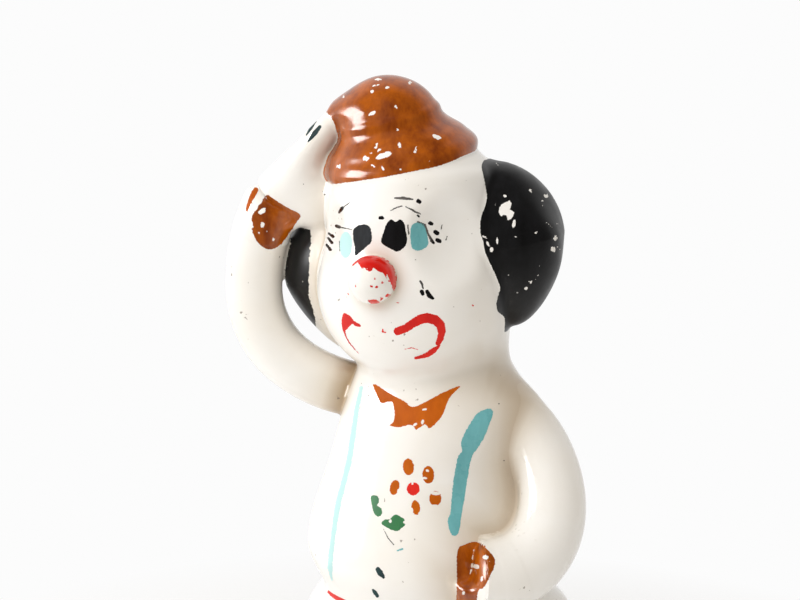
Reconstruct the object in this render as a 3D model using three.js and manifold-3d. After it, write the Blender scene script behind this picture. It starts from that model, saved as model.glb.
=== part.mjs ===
// A clown figurine in glazed ceramic: hollow cast body pieces with modelled limbs,
// luted together at plain joints. Millimetres, +Z up, facing -Y, right arm raised at -X.
import * as THREE from "three";
import { mergeVertices } from "three/addons/utils/BufferGeometryUtils.js";
import Module from "manifold-3d";

const wasm = await Module();
wasm.setup();

// Joints and walls
const JOINT_GAP = 0.3; // slip line between two luted pieces
const CAST_WALL = 3; // wall of the hollow pieces
const VENT_BORE = 3; // firing vent that joins the hollows and drains below

// Shoes
const SHOE_LENGTH = 34;
const SHOE_WIDTH = 17;
const SHOE_HEIGHT = 10;
const WELT_HEIGHT = 2.5; // where a shoe is longest and widest
const SOLE_LENGTH = 31.6;
const SOLE_WIDTH = 15.4;
const INSTEP_LENGTH = 20;
const INSTEP_WIDTH = 8.5;
const SHOE_SPREAD = 23.5; // between the middles of the two shoes
const SHOE_FORWARD = 7; // middle of a shoe ahead of the body axis
const TOE_OUT = 14; // degrees

// Trousers, each rise counted from the level below it
const HEM_HEIGHT = 6.5; // above the floor
const HEM_WIDTH = 21;
const HEM_DEPTH = 29;
const CROTCH_RISE = 4.5;
const CROTCH_WIDTH = 35;
const CROTCH_DEPTH = 23;
const LEG_WIDTH = 22.6; // one leg, at the crotch
const LEG_DEPTH = 31;
const HIP_RISE = 11;
const HIP_WIDTH = 49.5;
const HIP_DEPTH = 41;
const TROUSER_TOP_RISE = 7.5;
const TROUSER_TOP_WIDTH = 45;
const TROUSER_TOP_DEPTH = 42.8;
const WAIST_RISE = 4.5;
const WAIST_WIDTH = 37.4;
const WAIST_DEPTH = 38;
const WAIST_FORWARD = 0.4; // ahead of the body axis

// Torso
const BELLY_RISE = 7.5;
const BELLY_WIDTH = 41.4;
const BELLY_DEPTH = 42.4;
const BELLY_FORWARD = 1;
const RIBS_RISE = 14.5;
const RIBS_WIDTH = 33.4;
const RIBS_DEPTH = 32.4;
const RIBS_FORWARD = 1.2;
const CHEST_RISE = 11.5;
const CHEST_WIDTH = 31.5;
const CHEST_DEPTH = 23.8;
const CHEST_FORWARD = 2.4;
const CHEST_ASIDE = 2; // towards the arm at the hip
const NECK_RISE = 6.5;
const NECK_WIDTH = 25.6;
const NECK_DEPTH = 23.8;
const NECK_FORWARD = 0.8;
const NECK_SLOPE = 14; // degrees, the joint under the head runs down to the chin

// Head
const CHIN_DROP = 3; // below the middle of the neck joint
const CHIN_WIDTH = 12;
const CHIN_DEPTH = 12;
const THROAT_WIDTH = 22;
const THROAT_DEPTH = 22;
const JAW_RISE = 4; // above the middle of the neck joint
const JAW_WIDTH = 27.8;
const JAW_DEPTH = 27.6;
const CHEEK_RISE = 10;
const CHEEK_WIDTH = 32.2;
const CHEEK_DEPTH = 32;
const BROW_RISE = 12;
const BROW_WIDTH = 28.2;
const BROW_DEPTH = 28.4;
const SEAT_RISE = 6.3; // hat seat
const SEAT_WIDTH = 26;
const SEAT_DEPTH = 26;
const HEAD_FORWARD = 5; // head axis ahead of the body axis
const HEAD_ASIDE = 1.5; // head axis towards the raised arm
const NOSE_DIAMETER = 7.7;
const NOSE_RISE = 2; // above the cheeks
const NOSE_PROUD = 1.5; // middle of the nose ahead of the face

// Hair tufts
const TUFT_WIDTH = 22.2;
const TUFT_DEPTH = 19.6;
const TUFT_HEIGHT = 27.6;
const TUFT_RISE = 2.2; // middle of a tuft above the cheeks
const TUFT_BACK = 5.3; // behind the head axis
const TUFT_SUNK = 1.8; // middle of a tuft inside the side of the head
const TUFT_ASIDE = 0.7; // both tufts towards the raised arm
const HEAD_ROLL = 12; // degrees, tufts lean towards the raised arm

// Bowler hat
const BRIM_DIAMETER = 26.2;
const BRIM_EDGE = 1.6;
const CROWN_DIAMETER = 18;
const CROWN_BASE = 6; // where the flare ends and the dome starts
const HAT_HEIGHT = 14.5;
const HAT_ASIDE = 1.8; // brim centre from the head axis
const CROWN_ASIDE = 2.1; // how far the crown leans to the same side
const HAT_TILT = 9.5; // degrees

// Raised arm
const SHOULDER_DROP = 8.4; // below the middle of the neck joint
const SHOULDER_SUNK = 7; // how deep an arm's axis starts inside the chest
const SHOULDER_BACK = 5; // start of the arm behind the middle of the chest
const SLEEVE_DIAMETER = 9.4;
const WRIST_DIAMETER = 10.1;
const CUFF_DIAMETER = 10.4;
const CUFF_LENGTH = 7.4;
const ELBOW_SWING = 27.4; // pull on the arm at the shoulder: sideways
const ELBOW_FORWARD = 15;
const ELBOW_RISE = 1;
const WRIST_SWING = 21; // and at the fingertips
const WRIST_DROP = 22.8;
const WRIST_BACK = 2;
const HAND_LENGTH = 18.6;
const HAND_WIDTH = 7.9;
const HAND_THICKNESS = 6.8;
const HAND_TAPER = 0.85; // share of the hand's section lost at the fingertips
const FINGERTIP_RISE = 9; // above the hat's brim
const FINGERTIP_FORWARD = 4;

// Hip arm
const HIP_SHOULDER_DIAMETER = 8.2;
const HIP_SLEEVE_DIAMETER = 11;
const HIP_CUFF_DIAMETER = 12.2;
const HIP_SHOULDER_SWING = 10.4; // pull on the arm at its shoulder: sideways
const HIP_SHOULDER_BACK = 2.3;
const HIP_SHOULDER_RISE = 1.6;
const HIP_WRIST_SWING = 17.3; // and at its wrist
const HIP_WRIST_BACK = 11.2;
const HIP_WRIST_DROP = 1.5;
const HIP_WRIST_HEIGHT = 7.3; // above the waist
const HIP_WRIST_TURN = 43; // degrees round the belly from the front
const HIP_WRIST_PROUD = 1; // wrist outside the belly
const KNUCKLES_BACK = 1.3; // from the wrist, at the waist
const POCKET_BACK = 5.5; // from the wrist, where the hidden hand ends
const POCKET_DROP = 5; // below the waist

// Facets
const BODY_SIDES = 32;
const BODY_RINGS = 14;
const HOLLOW_SIDES = 20;
const HOLLOW_RINGS = 8;
const LEG_RINGS = 5;
const LIMB_SIDES = 18;
const LIMB_RINGS = 16;
const CUFF_RINGS = 4;
const CURVE_STEPS = 7;
const BALL_SIDES = 18;
const BALL_RINGS = 12;
const BORE_SIDES = 12;
const MERGE_DISTANCE = 1e-5;

const FRONT = new THREE.Vector3(0, -1, 0);
const SIDEWAYS = new THREE.Vector3(1, 0, 0);
const { clamp, degToRad, lerp } = THREE.MathUtils;

// Forms

function closedBody(rings) {
  const sides = rings[0].length;
  const points = rings.flat();
  const corners = [];
  const bottom = points.length;
  const top = bottom + 1;
  points.push(middleOf(rings[0]), middleOf(rings.at(-1)));
  const last = (rings.length - 1) * sides;
  for (let side = 0; side < sides; side += 1) {
    const next = (side + 1) % sides;
    corners.push(bottom, next, side);
    corners.push(top, last + side, last + next);
    for (let row = 0; row < last; row += sides) {
      corners.push(row + side, row + next, row + sides + next);
      corners.push(row + side, row + sides + next, row + sides + side);
    }
  }
  const body = new THREE.BufferGeometry().setFromPoints(points);
  body.setIndex(corners);
  return body;
}

function middleOf(points) {
  const sum = points.reduce((total, point) => total.add(point), new THREE.Vector3());
  return sum.divideScalar(points.length);
}

function ellipse(centre, across, along, sides) {
  return Array.from({ length: sides }, (_, side) => {
    const turn = (side / sides) * 2 * Math.PI;
    return centre.clone().addScaledVector(across, Math.cos(turn)).addScaledVector(along, Math.sin(turn));
  });
}

// Half width, half depth and centre of a body at a height, smooth between its measured levels.
function girth(levels, height) {
  const heights = levels.map((level) => level.z);
  const sizes = levels.flatMap(({ width, depth, x = 0, y = 0 }) => [width / 2, depth / 2, x, y]);
  const [halfWidth, halfDepth, x, y] = new THREE.CubicInterpolant(heights, sizes, 4).evaluate(height);
  return { halfWidth, halfDepth, x, y };
}

// A stack of level ellipses between two heights, larger all round by grow.
function stack(levels, { from, to, grow = 0, sides = BODY_SIDES, rings = BODY_RINGS }) {
  const sections = [];
  for (let step = 0; step <= rings; step += 1) {
    const { halfWidth, halfDepth, x, y } = girth(levels, lerp(from, to, step / rings));
    const centre = new THREE.Vector3(x, y, lerp(from - grow, to + grow, step / rings));
    const across = new THREE.Vector3(halfWidth + grow, 0, 0);
    const along = new THREE.Vector3(0, halfDepth + grow, 0);
    sections.push(ellipse(centre, across, along, sides));
  }
  return closedBody(sections);
}

// A limb along a curve, from one length to another, with its wide side square to reference.
function limb(curve, { from, to, width, thickness = width, reference, grow = 0, rings = LIMB_RINGS }) {
  const length = curve.getLength();
  const sections = [];
  for (let step = 0; step <= rings; step += 1) {
    const share = step / rings;
    const place = clamp(lerp(from - grow, to + grow, share) / length, 0, 1);
    const along = curve.getTangentAt(place);
    const across = new THREE.Vector3().crossVectors(along, reference).normalize();
    const through = new THREE.Vector3().crossVectors(along, across);
    across.multiplyScalar(width(share) / 2 + grow);
    through.multiplyScalar(thickness(share) / 2 + grow);
    sections.push(ellipse(curve.getPointAt(place), across, through, LIMB_SIDES));
  }
  return closedBody(sections);
}

function lobe(centre, width, depth, height, grow = 0) {
  const ball = new THREE.SphereGeometry(1, BALL_SIDES, BALL_RINGS);
  ball.scale(width / 2 + grow, depth / 2 + grow, height / 2 + grow);
  return ball.translate(centre.x, centre.y, centre.z);
}

// Solids

function solid(geometry) {
  const bare = geometry.clone();
  bare.deleteAttribute("normal");
  bare.deleteAttribute("uv");
  const merged = mergeVertices(bare, MERGE_DISTANCE);
  const vertProperties = new Float32Array(merged.attributes.position.array);
  const triVerts = new Uint32Array(merged.index.array);
  return new wasm.Manifold(new wasm.Mesh({ numProp: 3, vertProperties, triVerts }));
}

function join(...solids) {
  return solids.reduce((whole, piece) => whole.add(piece));
}

function cut(whole, ...tools) {
  return tools.reduce((rest, tool) => rest.subtract(tool), whole);
}

// Levels of the body and head, worked out from the driving dimensions

const CROTCH_HEIGHT = HEM_HEIGHT + CROTCH_RISE;
const HIP_HEIGHT = CROTCH_HEIGHT + HIP_RISE;
const TROUSER_TOP_HEIGHT = HIP_HEIGHT + TROUSER_TOP_RISE;
const WAIST_HEIGHT = TROUSER_TOP_HEIGHT + WAIST_RISE;
const BELLY_HEIGHT = WAIST_HEIGHT + BELLY_RISE;
const RIBS_HEIGHT = BELLY_HEIGHT + RIBS_RISE;
const CHEST_HEIGHT = RIBS_HEIGHT + CHEST_RISE;
const NECK_HEIGHT = CHEST_HEIGHT + NECK_RISE;
const JAW_HEIGHT = NECK_HEIGHT + JAW_RISE;
const CHEEK_HEIGHT = JAW_HEIGHT + CHEEK_RISE;
const BROW_HEIGHT = CHEEK_HEIGHT + BROW_RISE;
const SEAT_HEIGHT = BROW_HEIGHT + SEAT_RISE;

const waistLevel = { z: WAIST_HEIGHT, width: WAIST_WIDTH, depth: WAIST_DEPTH, y: -WAIST_FORWARD };

const hipLevels = [
  { z: CROTCH_HEIGHT, width: CROTCH_WIDTH, depth: CROTCH_DEPTH },
  { z: HIP_HEIGHT, width: HIP_WIDTH, depth: HIP_DEPTH },
  { z: TROUSER_TOP_HEIGHT, width: TROUSER_TOP_WIDTH, depth: TROUSER_TOP_DEPTH },
  waistLevel,
];

const torsoLevels = [
  waistLevel,
  { z: BELLY_HEIGHT, width: BELLY_WIDTH, depth: BELLY_DEPTH, y: -BELLY_FORWARD },
  { z: RIBS_HEIGHT, width: RIBS_WIDTH, depth: RIBS_DEPTH, y: -RIBS_FORWARD },
  { z: CHEST_HEIGHT, width: CHEST_WIDTH, depth: CHEST_DEPTH, x: CHEST_ASIDE, y: -CHEST_FORWARD },
  { z: NECK_HEIGHT, width: NECK_WIDTH, depth: NECK_DEPTH, y: -NECK_FORWARD },
];

const headLevels = [
  { z: NECK_HEIGHT - CHIN_DROP, width: CHIN_WIDTH, depth: CHIN_DEPTH },
  { z: NECK_HEIGHT, width: THROAT_WIDTH, depth: THROAT_DEPTH },
  { z: JAW_HEIGHT, width: JAW_WIDTH, depth: JAW_DEPTH },
  { z: CHEEK_HEIGHT, width: CHEEK_WIDTH, depth: CHEEK_DEPTH },
  { z: BROW_HEIGHT, width: BROW_WIDTH, depth: BROW_DEPTH },
  { z: SEAT_HEIGHT, width: SEAT_WIDTH, depth: SEAT_DEPTH },
].map((level) => ({ ...level, x: -HEAD_ASIDE, y: -HEAD_FORWARD }));

// Trousers and shoes

function legForm(side, grow) {
  const x = (side * SHOE_SPREAD) / 2;
  const levels = [
    { z: HEM_HEIGHT, width: HEM_WIDTH, depth: HEM_DEPTH, x },
    { z: CROTCH_HEIGHT, width: LEG_WIDTH, depth: LEG_DEPTH, x },
    { z: HIP_HEIGHT, width: HEM_WIDTH, depth: HEM_DEPTH, x },
  ];
  const span = { from: HEM_HEIGHT, to: HIP_HEIGHT, grow };
  return solid(stack(levels, { ...span, sides: HOLLOW_SIDES, rings: LEG_RINGS }));
}

function trousersForm(grow = 0) {
  const seam = WAIST_HEIGHT - JOINT_GAP / 2;
  const hips = solid(stack(hipLevels, { from: CROTCH_HEIGHT, to: seam, grow }));
  return join(hips, legForm(-1, grow), legForm(1, grow));
}

function trousersHollow() {
  const from = CROTCH_HEIGHT + CAST_WALL;
  const to = WAIST_HEIGHT - CAST_WALL;
  return solid(stack(hipLevels, { from, to, grow: -CAST_WALL, sides: HOLLOW_SIDES, rings: HOLLOW_RINGS }));
}

function shoeForm(side) {
  const levels = [
    { z: 0, width: SOLE_WIDTH, depth: SOLE_LENGTH },
    { z: WELT_HEIGHT, width: SHOE_WIDTH, depth: SHOE_LENGTH },
    { z: SHOE_HEIGHT, width: INSTEP_WIDTH, depth: INSTEP_LENGTH },
  ];
  const shoe = stack(levels, { from: 0, to: SHOE_HEIGHT, sides: HOLLOW_SIDES, rings: HOLLOW_RINGS });
  shoe.rotateZ(side * degToRad(TOE_OUT));
  return solid(shoe.translate((side * SHOE_SPREAD) / 2, -SHOE_FORWARD, 0));
}

// Torso and head, parted by the sloping neck joint

function neckKnife(side) {
  const block = new THREE.BoxGeometry(SEAT_HEIGHT, SEAT_HEIGHT, SEAT_HEIGHT);
  block.translate(0, 0, (side * (SEAT_HEIGHT - JOINT_GAP)) / 2);
  block.rotateX(degToRad(NECK_SLOPE));
  return solid(block.translate(0, -NECK_FORWARD, NECK_HEIGHT));
}

function torsoForm(grow = 0) {
  const from = WAIST_HEIGHT + JOINT_GAP / 2;
  const to = NECK_HEIGHT + NECK_DEPTH / 2;
  const levels = [...torsoLevels, { ...torsoLevels.at(-1), z: to }];
  return solid(stack(levels, { from, to, grow }));
}

function torsoHollow() {
  const from = WAIST_HEIGHT + CAST_WALL;
  const to = CHEST_HEIGHT - CAST_WALL;
  return solid(stack(torsoLevels, { from, to, grow: -CAST_WALL, sides: HOLLOW_SIDES, rings: HOLLOW_RINGS }));
}

function headForm(grow = 0) {
  return solid(stack(headLevels, { from: NECK_HEIGHT - CHIN_DROP, to: SEAT_HEIGHT, grow }));
}

function headHollow() {
  const from = JAW_HEIGHT + CAST_WALL;
  const to = BROW_HEIGHT - CAST_WALL;
  return solid(stack(headLevels, { from, to, grow: -CAST_WALL, sides: HOLLOW_SIDES, rings: HOLLOW_RINGS }));
}

function ventBore() {
  const bore = new THREE.CylinderGeometry(VENT_BORE / 2, VENT_BORE / 2, CHEEK_HEIGHT, BORE_SIDES);
  bore.rotateX(Math.PI / 2);
  return solid(bore.translate(0, -NECK_FORWARD, CHEEK_HEIGHT / 2));
}

function noseForm() {
  const height = CHEEK_HEIGHT + NOSE_RISE;
  const { halfDepth, x, y } = girth(headLevels, height);
  const centre = new THREE.Vector3(x, y - halfDepth - NOSE_PROUD, height);
  return solid(lobe(centre, NOSE_DIAMETER, NOSE_DIAMETER, NOSE_DIAMETER));
}

// Hair tufts, an egg on each side of the head

function tuftForm(side) {
  const height = CHEEK_HEIGHT + TUFT_RISE;
  const { halfWidth, x, y } = girth(headLevels, height);
  const centre = new THREE.Vector3(side * (halfWidth - TUFT_SUNK), TUFT_BACK, 0);
  const egg = lobe(centre, TUFT_WIDTH, TUFT_DEPTH, TUFT_HEIGHT);
  egg.rotateY(-degToRad(HEAD_ROLL));
  return solid(egg.translate(x - TUFT_ASIDE, y, height));
}

// Bowler hat, turned level about its brim centre, leant and then tilted on the head

const hatPlace = new THREE.Matrix4()
  .makeTranslation(-HEAD_ASIDE - HAT_ASIDE, -HEAD_FORWARD, SEAT_HEIGHT)
  .multiply(new THREE.Matrix4().makeRotationY(-degToRad(HAT_TILT)));

function hatForm(grow = 0) {
  const brim = BRIM_DIAMETER / 2 + grow;
  const crown = CROWN_DIAMETER / 2 + grow;
  const outline = new THREE.Path().moveTo(0, -grow);
  outline.lineTo(brim, -grow).lineTo(brim, BRIM_EDGE).lineTo(crown, CROWN_BASE);
  outline.absellipse(0, CROWN_BASE, crown, HAT_HEIGHT - CROWN_BASE + grow, 0, Math.PI / 2);
  const bowler = new THREE.LatheGeometry(outline.getPoints(CURVE_STEPS), BODY_SIDES);
  bowler.rotateX(Math.PI / 2);
  const lean = new THREE.Matrix4().makeShear(0, 0, 0, 0, -CROWN_ASIDE / HAT_HEIGHT, 0);
  return solid(bowler.applyMatrix4(lean).applyMatrix4(hatPlace));
}

// The dome on the head that the hollow hat sits over.
function hatCore(grow = 0) {
  const across = CROWN_DIAMETER - 2 * CAST_WALL;
  const tall = 2 * (HAT_HEIGHT - CAST_WALL);
  const dome = lobe(new THREE.Vector3(-CROWN_ASIDE / 2, 0, 0), across, across, tall, grow);
  return solid(dome.applyMatrix4(hatPlace));
}

// Raised arm: sleeve, cuff and hand along one curve from the chest to the hat

function shoulderAt(side) {
  const height = NECK_HEIGHT - SHOULDER_DROP;
  const { halfWidth, x, y } = girth(torsoLevels, height);
  return new THREE.Vector3(x + side * (halfWidth - SHOULDER_SUNK), y, height);
}

function raisedCurve() {
  const shoulder = shoulderAt(-1).add(new THREE.Vector3(0, SHOULDER_BACK, 0));
  const reach = CROWN_DIAMETER / 2 + CROWN_ASIDE;
  const fingertip = new THREE.Vector3(-reach, -FINGERTIP_FORWARD, FINGERTIP_RISE).applyMatrix4(hatPlace);
  const elbowPull = new THREE.Vector3(-ELBOW_SWING, -ELBOW_FORWARD, ELBOW_RISE).add(shoulder);
  const wristPull = new THREE.Vector3(-WRIST_SWING, WRIST_BACK, -WRIST_DROP).add(fingertip);
  return new THREE.CubicBezierCurve3(shoulder, elbowPull, wristPull, fingertip);
}

const raised = raisedCurve();
const raisedCuffEnd = raised.getLength() - HAND_LENGTH;
const raisedCuffStart = raisedCuffEnd - CUFF_LENGTH;

function raisedArmForm(grow = 0) {
  const width = (share) => lerp(SLEEVE_DIAMETER, WRIST_DIAMETER, share ** 2);
  return solid(limb(raised, { from: 0, to: raisedCuffStart, width, reference: FRONT, grow }));
}

function raisedCuffForm(grow = 0) {
  const from = raisedCuffStart + JOINT_GAP;
  const width = () => CUFF_DIAMETER;
  return solid(limb(raised, { from, to: raisedCuffEnd, width, reference: FRONT, grow, rings: CUFF_RINGS }));
}

// A mitten keeps its section over the palm and rounds off at the fingertips.
function mitten(size) {
  return (share) => size * Math.sqrt(1 - HAND_TAPER * share ** 4);
}

function raisedHandForm(grow = 0) {
  const from = raisedCuffEnd + JOINT_GAP;
  const width = mitten(HAND_WIDTH);
  const thickness = mitten(HAND_THICKNESS);
  return solid(limb(raised, { from, to: raised.getLength(), width, thickness, reference: FRONT, grow }));
}

// Hip arm: sleeve and cuff round the belly to the trouser pocket, hand tucked in

function hipCurve() {
  const height = WAIST_HEIGHT + HIP_WRIST_HEIGHT;
  const belly = girth(torsoLevels, height);
  const turn = degToRad(HIP_WRIST_TURN);
  const shoulder = shoulderAt(1);
  const wrist = new THREE.Vector3(
    belly.x + (belly.halfWidth + HIP_WRIST_PROUD) * Math.sin(turn),
    belly.y - (belly.halfDepth + HIP_WRIST_PROUD) * Math.cos(turn),
    height,
  );
  const shoulderPull = new THREE.Vector3(HIP_SHOULDER_SWING, HIP_SHOULDER_BACK, HIP_SHOULDER_RISE);
  const wristPull = new THREE.Vector3(HIP_WRIST_SWING, HIP_WRIST_BACK, -HIP_WRIST_DROP);
  return new THREE.CubicBezierCurve3(shoulder, shoulderPull.add(shoulder), wristPull.add(wrist), wrist);
}

const hip = hipCurve();
const hipCuffStart = hip.getLength() - CUFF_LENGTH;

function hipArmForm() {
  const upper = (share) => lerp(HIP_SHOULDER_DIAMETER, HIP_SLEEVE_DIAMETER, share);
  const fore = (share) => lerp(HIP_SLEEVE_DIAMETER, HIP_CUFF_DIAMETER, share);
  const width = (share) => lerp(upper(share), fore(share), share);
  return solid(limb(hip, { from: 0, to: hipCuffStart, width, reference: SIDEWAYS }));
}

function hipCuffForm(grow = 0) {
  const from = hipCuffStart + JOINT_GAP;
  const width = () => HIP_CUFF_DIAMETER;
  return solid(limb(hip, { from, to: hip.getLength(), width, reference: SIDEWAYS, grow, rings: CUFF_RINGS }));
}

function hipHandForm() {
  const wrist = hip.getPointAt(1);
  const knuckles = new THREE.Vector3(wrist.x, wrist.y + KNUCKLES_BACK, WAIST_HEIGHT);
  const pocket = new THREE.Vector3(wrist.x, wrist.y + POCKET_BACK, WAIST_HEIGHT - POCKET_DROP);
  const curve = new THREE.QuadraticBezierCurve3(wrist, knuckles, pocket);
  const width = mitten(HAND_WIDTH);
  const thickness = mitten(HAND_THICKNESS);
  const to = curve.getLength();
  return solid(limb(curve, { from: 0, to, width, thickness, reference: SIDEWAYS, rings: HOLLOW_RINGS }));
}

// Pieces

const glaze = { color: 0xf0ede6, roughness: 0.18, metalness: 0 };
const brownPaint = { color: 0x9a4d16, roughness: 0.24, metalness: 0 };
const blackPaint = { color: 0x19191b, roughness: 0.22, metalness: 0 };
const redPaint = { color: 0xc8281f, roughness: 0.24, metalness: 0 };

const figurine = new THREE.Group();

function addPiece(name, form, finish) {
  const { vertProperties, triVerts } = form.getMesh();
  const geometry = new THREE.BufferGeometry();
  geometry.setAttribute("position", new THREE.BufferAttribute(vertProperties, 3));
  geometry.setIndex(new THREE.BufferAttribute(triVerts, 1));
  geometry.computeVertexNormals();
  const piece = new THREE.Mesh(geometry, new THREE.MeshStandardMaterial(finish));
  piece.name = name;
  figurine.add(piece);
}

const vent = ventBore();
const aboveNeck = neckKnife(1);
const belowNeck = neckKnife(-1);
const torsoSpace = cut(torsoForm(JOINT_GAP), aboveNeck);
const trousersSpace = trousersForm(JOINT_GAP);
const bodySpaces = [torsoSpace, trousersSpace];
const headSpace = headForm(JOINT_GAP);
const hatSpace = hatForm(JOINT_GAP);
const raisedSpaces = [raisedArmForm(JOINT_GAP), raisedCuffForm(JOINT_GAP), raisedHandForm(JOINT_GAP)];

addPiece("trousers", cut(trousersForm(), trousersHollow(), vent), glaze);
addPiece("torso", cut(torsoForm(), aboveNeck, torsoHollow(), vent), glaze);
const skull = join(cut(headForm(), belowNeck, hatSpace), hatCore());
addPiece("head", cut(skull, headHollow(), vent), glaze);
addPiece("hat", cut(hatForm(), hatCore(JOINT_GAP)), brownPaint);
addPiece("nose", cut(noseForm(), headSpace), redPaint);

addPiece("raised_arm", cut(raisedArmForm(), torsoSpace, headSpace), glaze);
addPiece("raised_cuff", cut(raisedCuffForm(), headSpace), brownPaint);
addPiece("raised_hand", cut(raisedHandForm(), hatSpace, headSpace), glaze);
addPiece("hip_arm", cut(hipArmForm(), ...bodySpaces), glaze);
addPiece("hip_cuff", cut(hipCuffForm(), ...bodySpaces), brownPaint);
addPiece("hip_hand", cut(hipHandForm(), ...bodySpaces, hipCuffForm(JOINT_GAP)), glaze);

for (const [name, side] of [["right", -1], ["left", 1]]) {
  addPiece(`${name}_hair`, cut(tuftForm(side), headSpace, hatSpace, torsoSpace, ...raisedSpaces), blackPaint);
  addPiece(`${name}_shoe`, cut(shoeForm(side), trousersSpace), brownPaint);
}

// The origin is on the floor, under the middle of the whole figurine.
const extent = new THREE.Box3().setFromObject(figurine);
const middle = extent.getCenter(new THREE.Vector3());
figurine.position.set(-middle.x, -middle.y, -extent.min.z);

export default figurine;
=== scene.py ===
"""A small standing clown ornament in glazed, hand-painted ceramic.

Every piece is soft clay on the measured frame: the pieces melt into each other as luted clay does under
its glaze, and the brushwork lies on the glaze as thin films of enamel.
"""

import math
from types import SimpleNamespace

import bpy
import numpy as np
from bpy.props import FloatProperty, FloatVectorProperty, PointerProperty
from mathutils import Matrix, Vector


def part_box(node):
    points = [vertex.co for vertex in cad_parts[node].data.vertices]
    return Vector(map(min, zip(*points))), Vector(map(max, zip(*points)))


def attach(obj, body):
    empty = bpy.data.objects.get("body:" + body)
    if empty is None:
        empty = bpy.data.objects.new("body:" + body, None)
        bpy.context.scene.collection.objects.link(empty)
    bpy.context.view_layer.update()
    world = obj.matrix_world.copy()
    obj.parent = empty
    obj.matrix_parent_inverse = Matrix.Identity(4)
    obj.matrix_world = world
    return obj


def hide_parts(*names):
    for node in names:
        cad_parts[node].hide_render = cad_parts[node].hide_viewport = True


bl_info = {
    "name": "Ceramic Clown Figurine",
    "version": (1, 0, 0),
    "blender": (4, 5, 0),
    "location": "View3D > Sidebar > Figurine",
    "description": "Models, glazes and paints a small standing clown ornament",
    "category": "Add Mesh",
}

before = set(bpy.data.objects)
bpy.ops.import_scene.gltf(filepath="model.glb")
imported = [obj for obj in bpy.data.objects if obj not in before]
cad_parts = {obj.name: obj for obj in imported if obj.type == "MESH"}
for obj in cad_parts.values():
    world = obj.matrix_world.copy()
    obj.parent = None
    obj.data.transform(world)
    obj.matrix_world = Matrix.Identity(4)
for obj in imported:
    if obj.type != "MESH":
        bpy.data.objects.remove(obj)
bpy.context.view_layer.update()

MM = 0.001
PHOTO_WIDTH = 800  # pixels
PHOTO_MIDDLE = np.array([400.0, 300.0])
ROOM_COLOUR = (1.0, 0.86, 0.68)  # warm light from the room in front
DIM_ROOM = 0.1  # how bright that room is in the gloss

# How finely the clay is meshed, in millimetres
BODY_CELL = 0.42
DETAIL_CELL = 0.3
FILM_CELL = 0.11

# How pieces meet and how paint lies, in millimetres
SEAM_LAP = 0.5  # a piece runs this far under its neighbour
SEAM_SINK = 0.08  # and sinks this deep there
CUFF_LAP = 4.0  # a sleeve runs this far on inside its cuff
CUFF_PROUD = 0.02  # and the cuff stands this proud of it
FILM_THICKNESS = 0.035
FILM_ROOT = 0.3  # a film's underside inside the clay
REACH = 5.0  # how far round its node a piece is worked out
FAR = 1000.0  # beyond every piece
TINY = 1e-6  # keeps a divisor above zero
RIPPLE_HEIGHT = 0.05  # unevenness of clay that was smoothed by hand
COMB_DEPTH = 0.3  # waves combed into the hair
SOCKET_RIM = 0.9  # rounding where an eye socket starts
FLANK_EDGE = 0.6  # rounding of the torso's and the hips' flat ends

# Points along the curves and limbs
CURVE_POINTS = 200
TAPER_POINTS = 121
RAISED_POINTS = SimpleNamespace(sleeve=24, cuff=6, hand=12)
HIP_POINTS = SimpleNamespace(sleeve=28, cuff=8, hand=10)


# Sizes and colours that a user would change


def length(name, millimetres, description):
    metres = millimetres * MM
    return FloatProperty(name=name, description=description, default=metres, unit="LENGTH", precision=4)


def angle(name, degrees, description):
    radians = math.radians(degrees)
    return FloatProperty(name=name, description=description, default=radians, subtype="ANGLE")


def level(name, height, width, depth, forward=0.0, aside=0.0):
    """One level of a body: its height, its section and where its middle lies."""
    return FloatVectorProperty(
        name=name,
        description=f"Height, width, depth, forward and sideways lean at the {name.lower()}",
        size=5,
        default=[size * MM for size in (height, width, depth, forward, aside)],
        unit="LENGTH",
        precision=4,
    )


def spot(name, x, y, z, description):
    metres = (x * MM, y * MM, z * MM)
    return FloatVectorProperty(
        name=name, description=description, size=3, default=metres, subtype="XYZ_LENGTH"
    )


def paint(name, red, green, blue, description):
    """A colour as a screen shows it, in steps of 255, kept as linear light."""
    shares = [step / 255 for step in (red, green, blue)]
    default = [((share + 0.055) / 1.055) ** 2.4 if share > 0.04 else share / 12.92 for share in shares]
    return FloatVectorProperty(
        name=name, description=description, size=3, default=default, subtype="COLOR", min=0.0, max=1.0
    )


def number(name, value, description):
    return FloatProperty(name=name, description=description, default=value, min=0.0)


class FigurineBodySizes(bpy.types.PropertyGroup):
    """Shoes, trousers and torso."""

    shoe_length: length("Shoe length", 34, "Longest part of a shoe, at its welt")
    shoe_width: length("Shoe width", 17, "Widest part of a shoe, at its welt")
    shoe_height: length("Shoe height", 10, "Top of the instep above the floor")
    shoe_spread: length("Shoe spread", 23.5, "Between the middles of the two shoes")
    shoe_forward: length("Shoe forward", 7, "Middle of a shoe ahead of the body axis")
    toe_out: angle("Toe out", 14, "How far each shoe turns outwards")
    hem: level("Hem", 6.5, 21, 29)
    knee: level("Knee", 11, 22.6, 31)
    leg_top: level("Leg top", 22, 21, 29)
    crotch: level("Crotch", 11, 35, 23)
    hips: level("Hips", 22, 49.5, 41, 0, 1.2)
    trouser_top: level("Trouser top", 29.5, 45, 42.8, 0, 1.1)
    waist: level("Waist", 34, 37.4, 38, 0.4, 0.3)
    belly: level("Belly", 41.5, 41.4, 42.4, 1, -0.3)
    ribs: level("Ribs", 56, 33.4, 32.4, 1.2, -0.5)
    chest: level("Chest", 67.5, 31.5, 23.8, 2.4, 2)
    neck: level("Neck", 73, 25.6, 24, 0.4, 0.35)
    neck_top: level("Neck top", 80, 25, 24, 0, 0.3)


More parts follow.
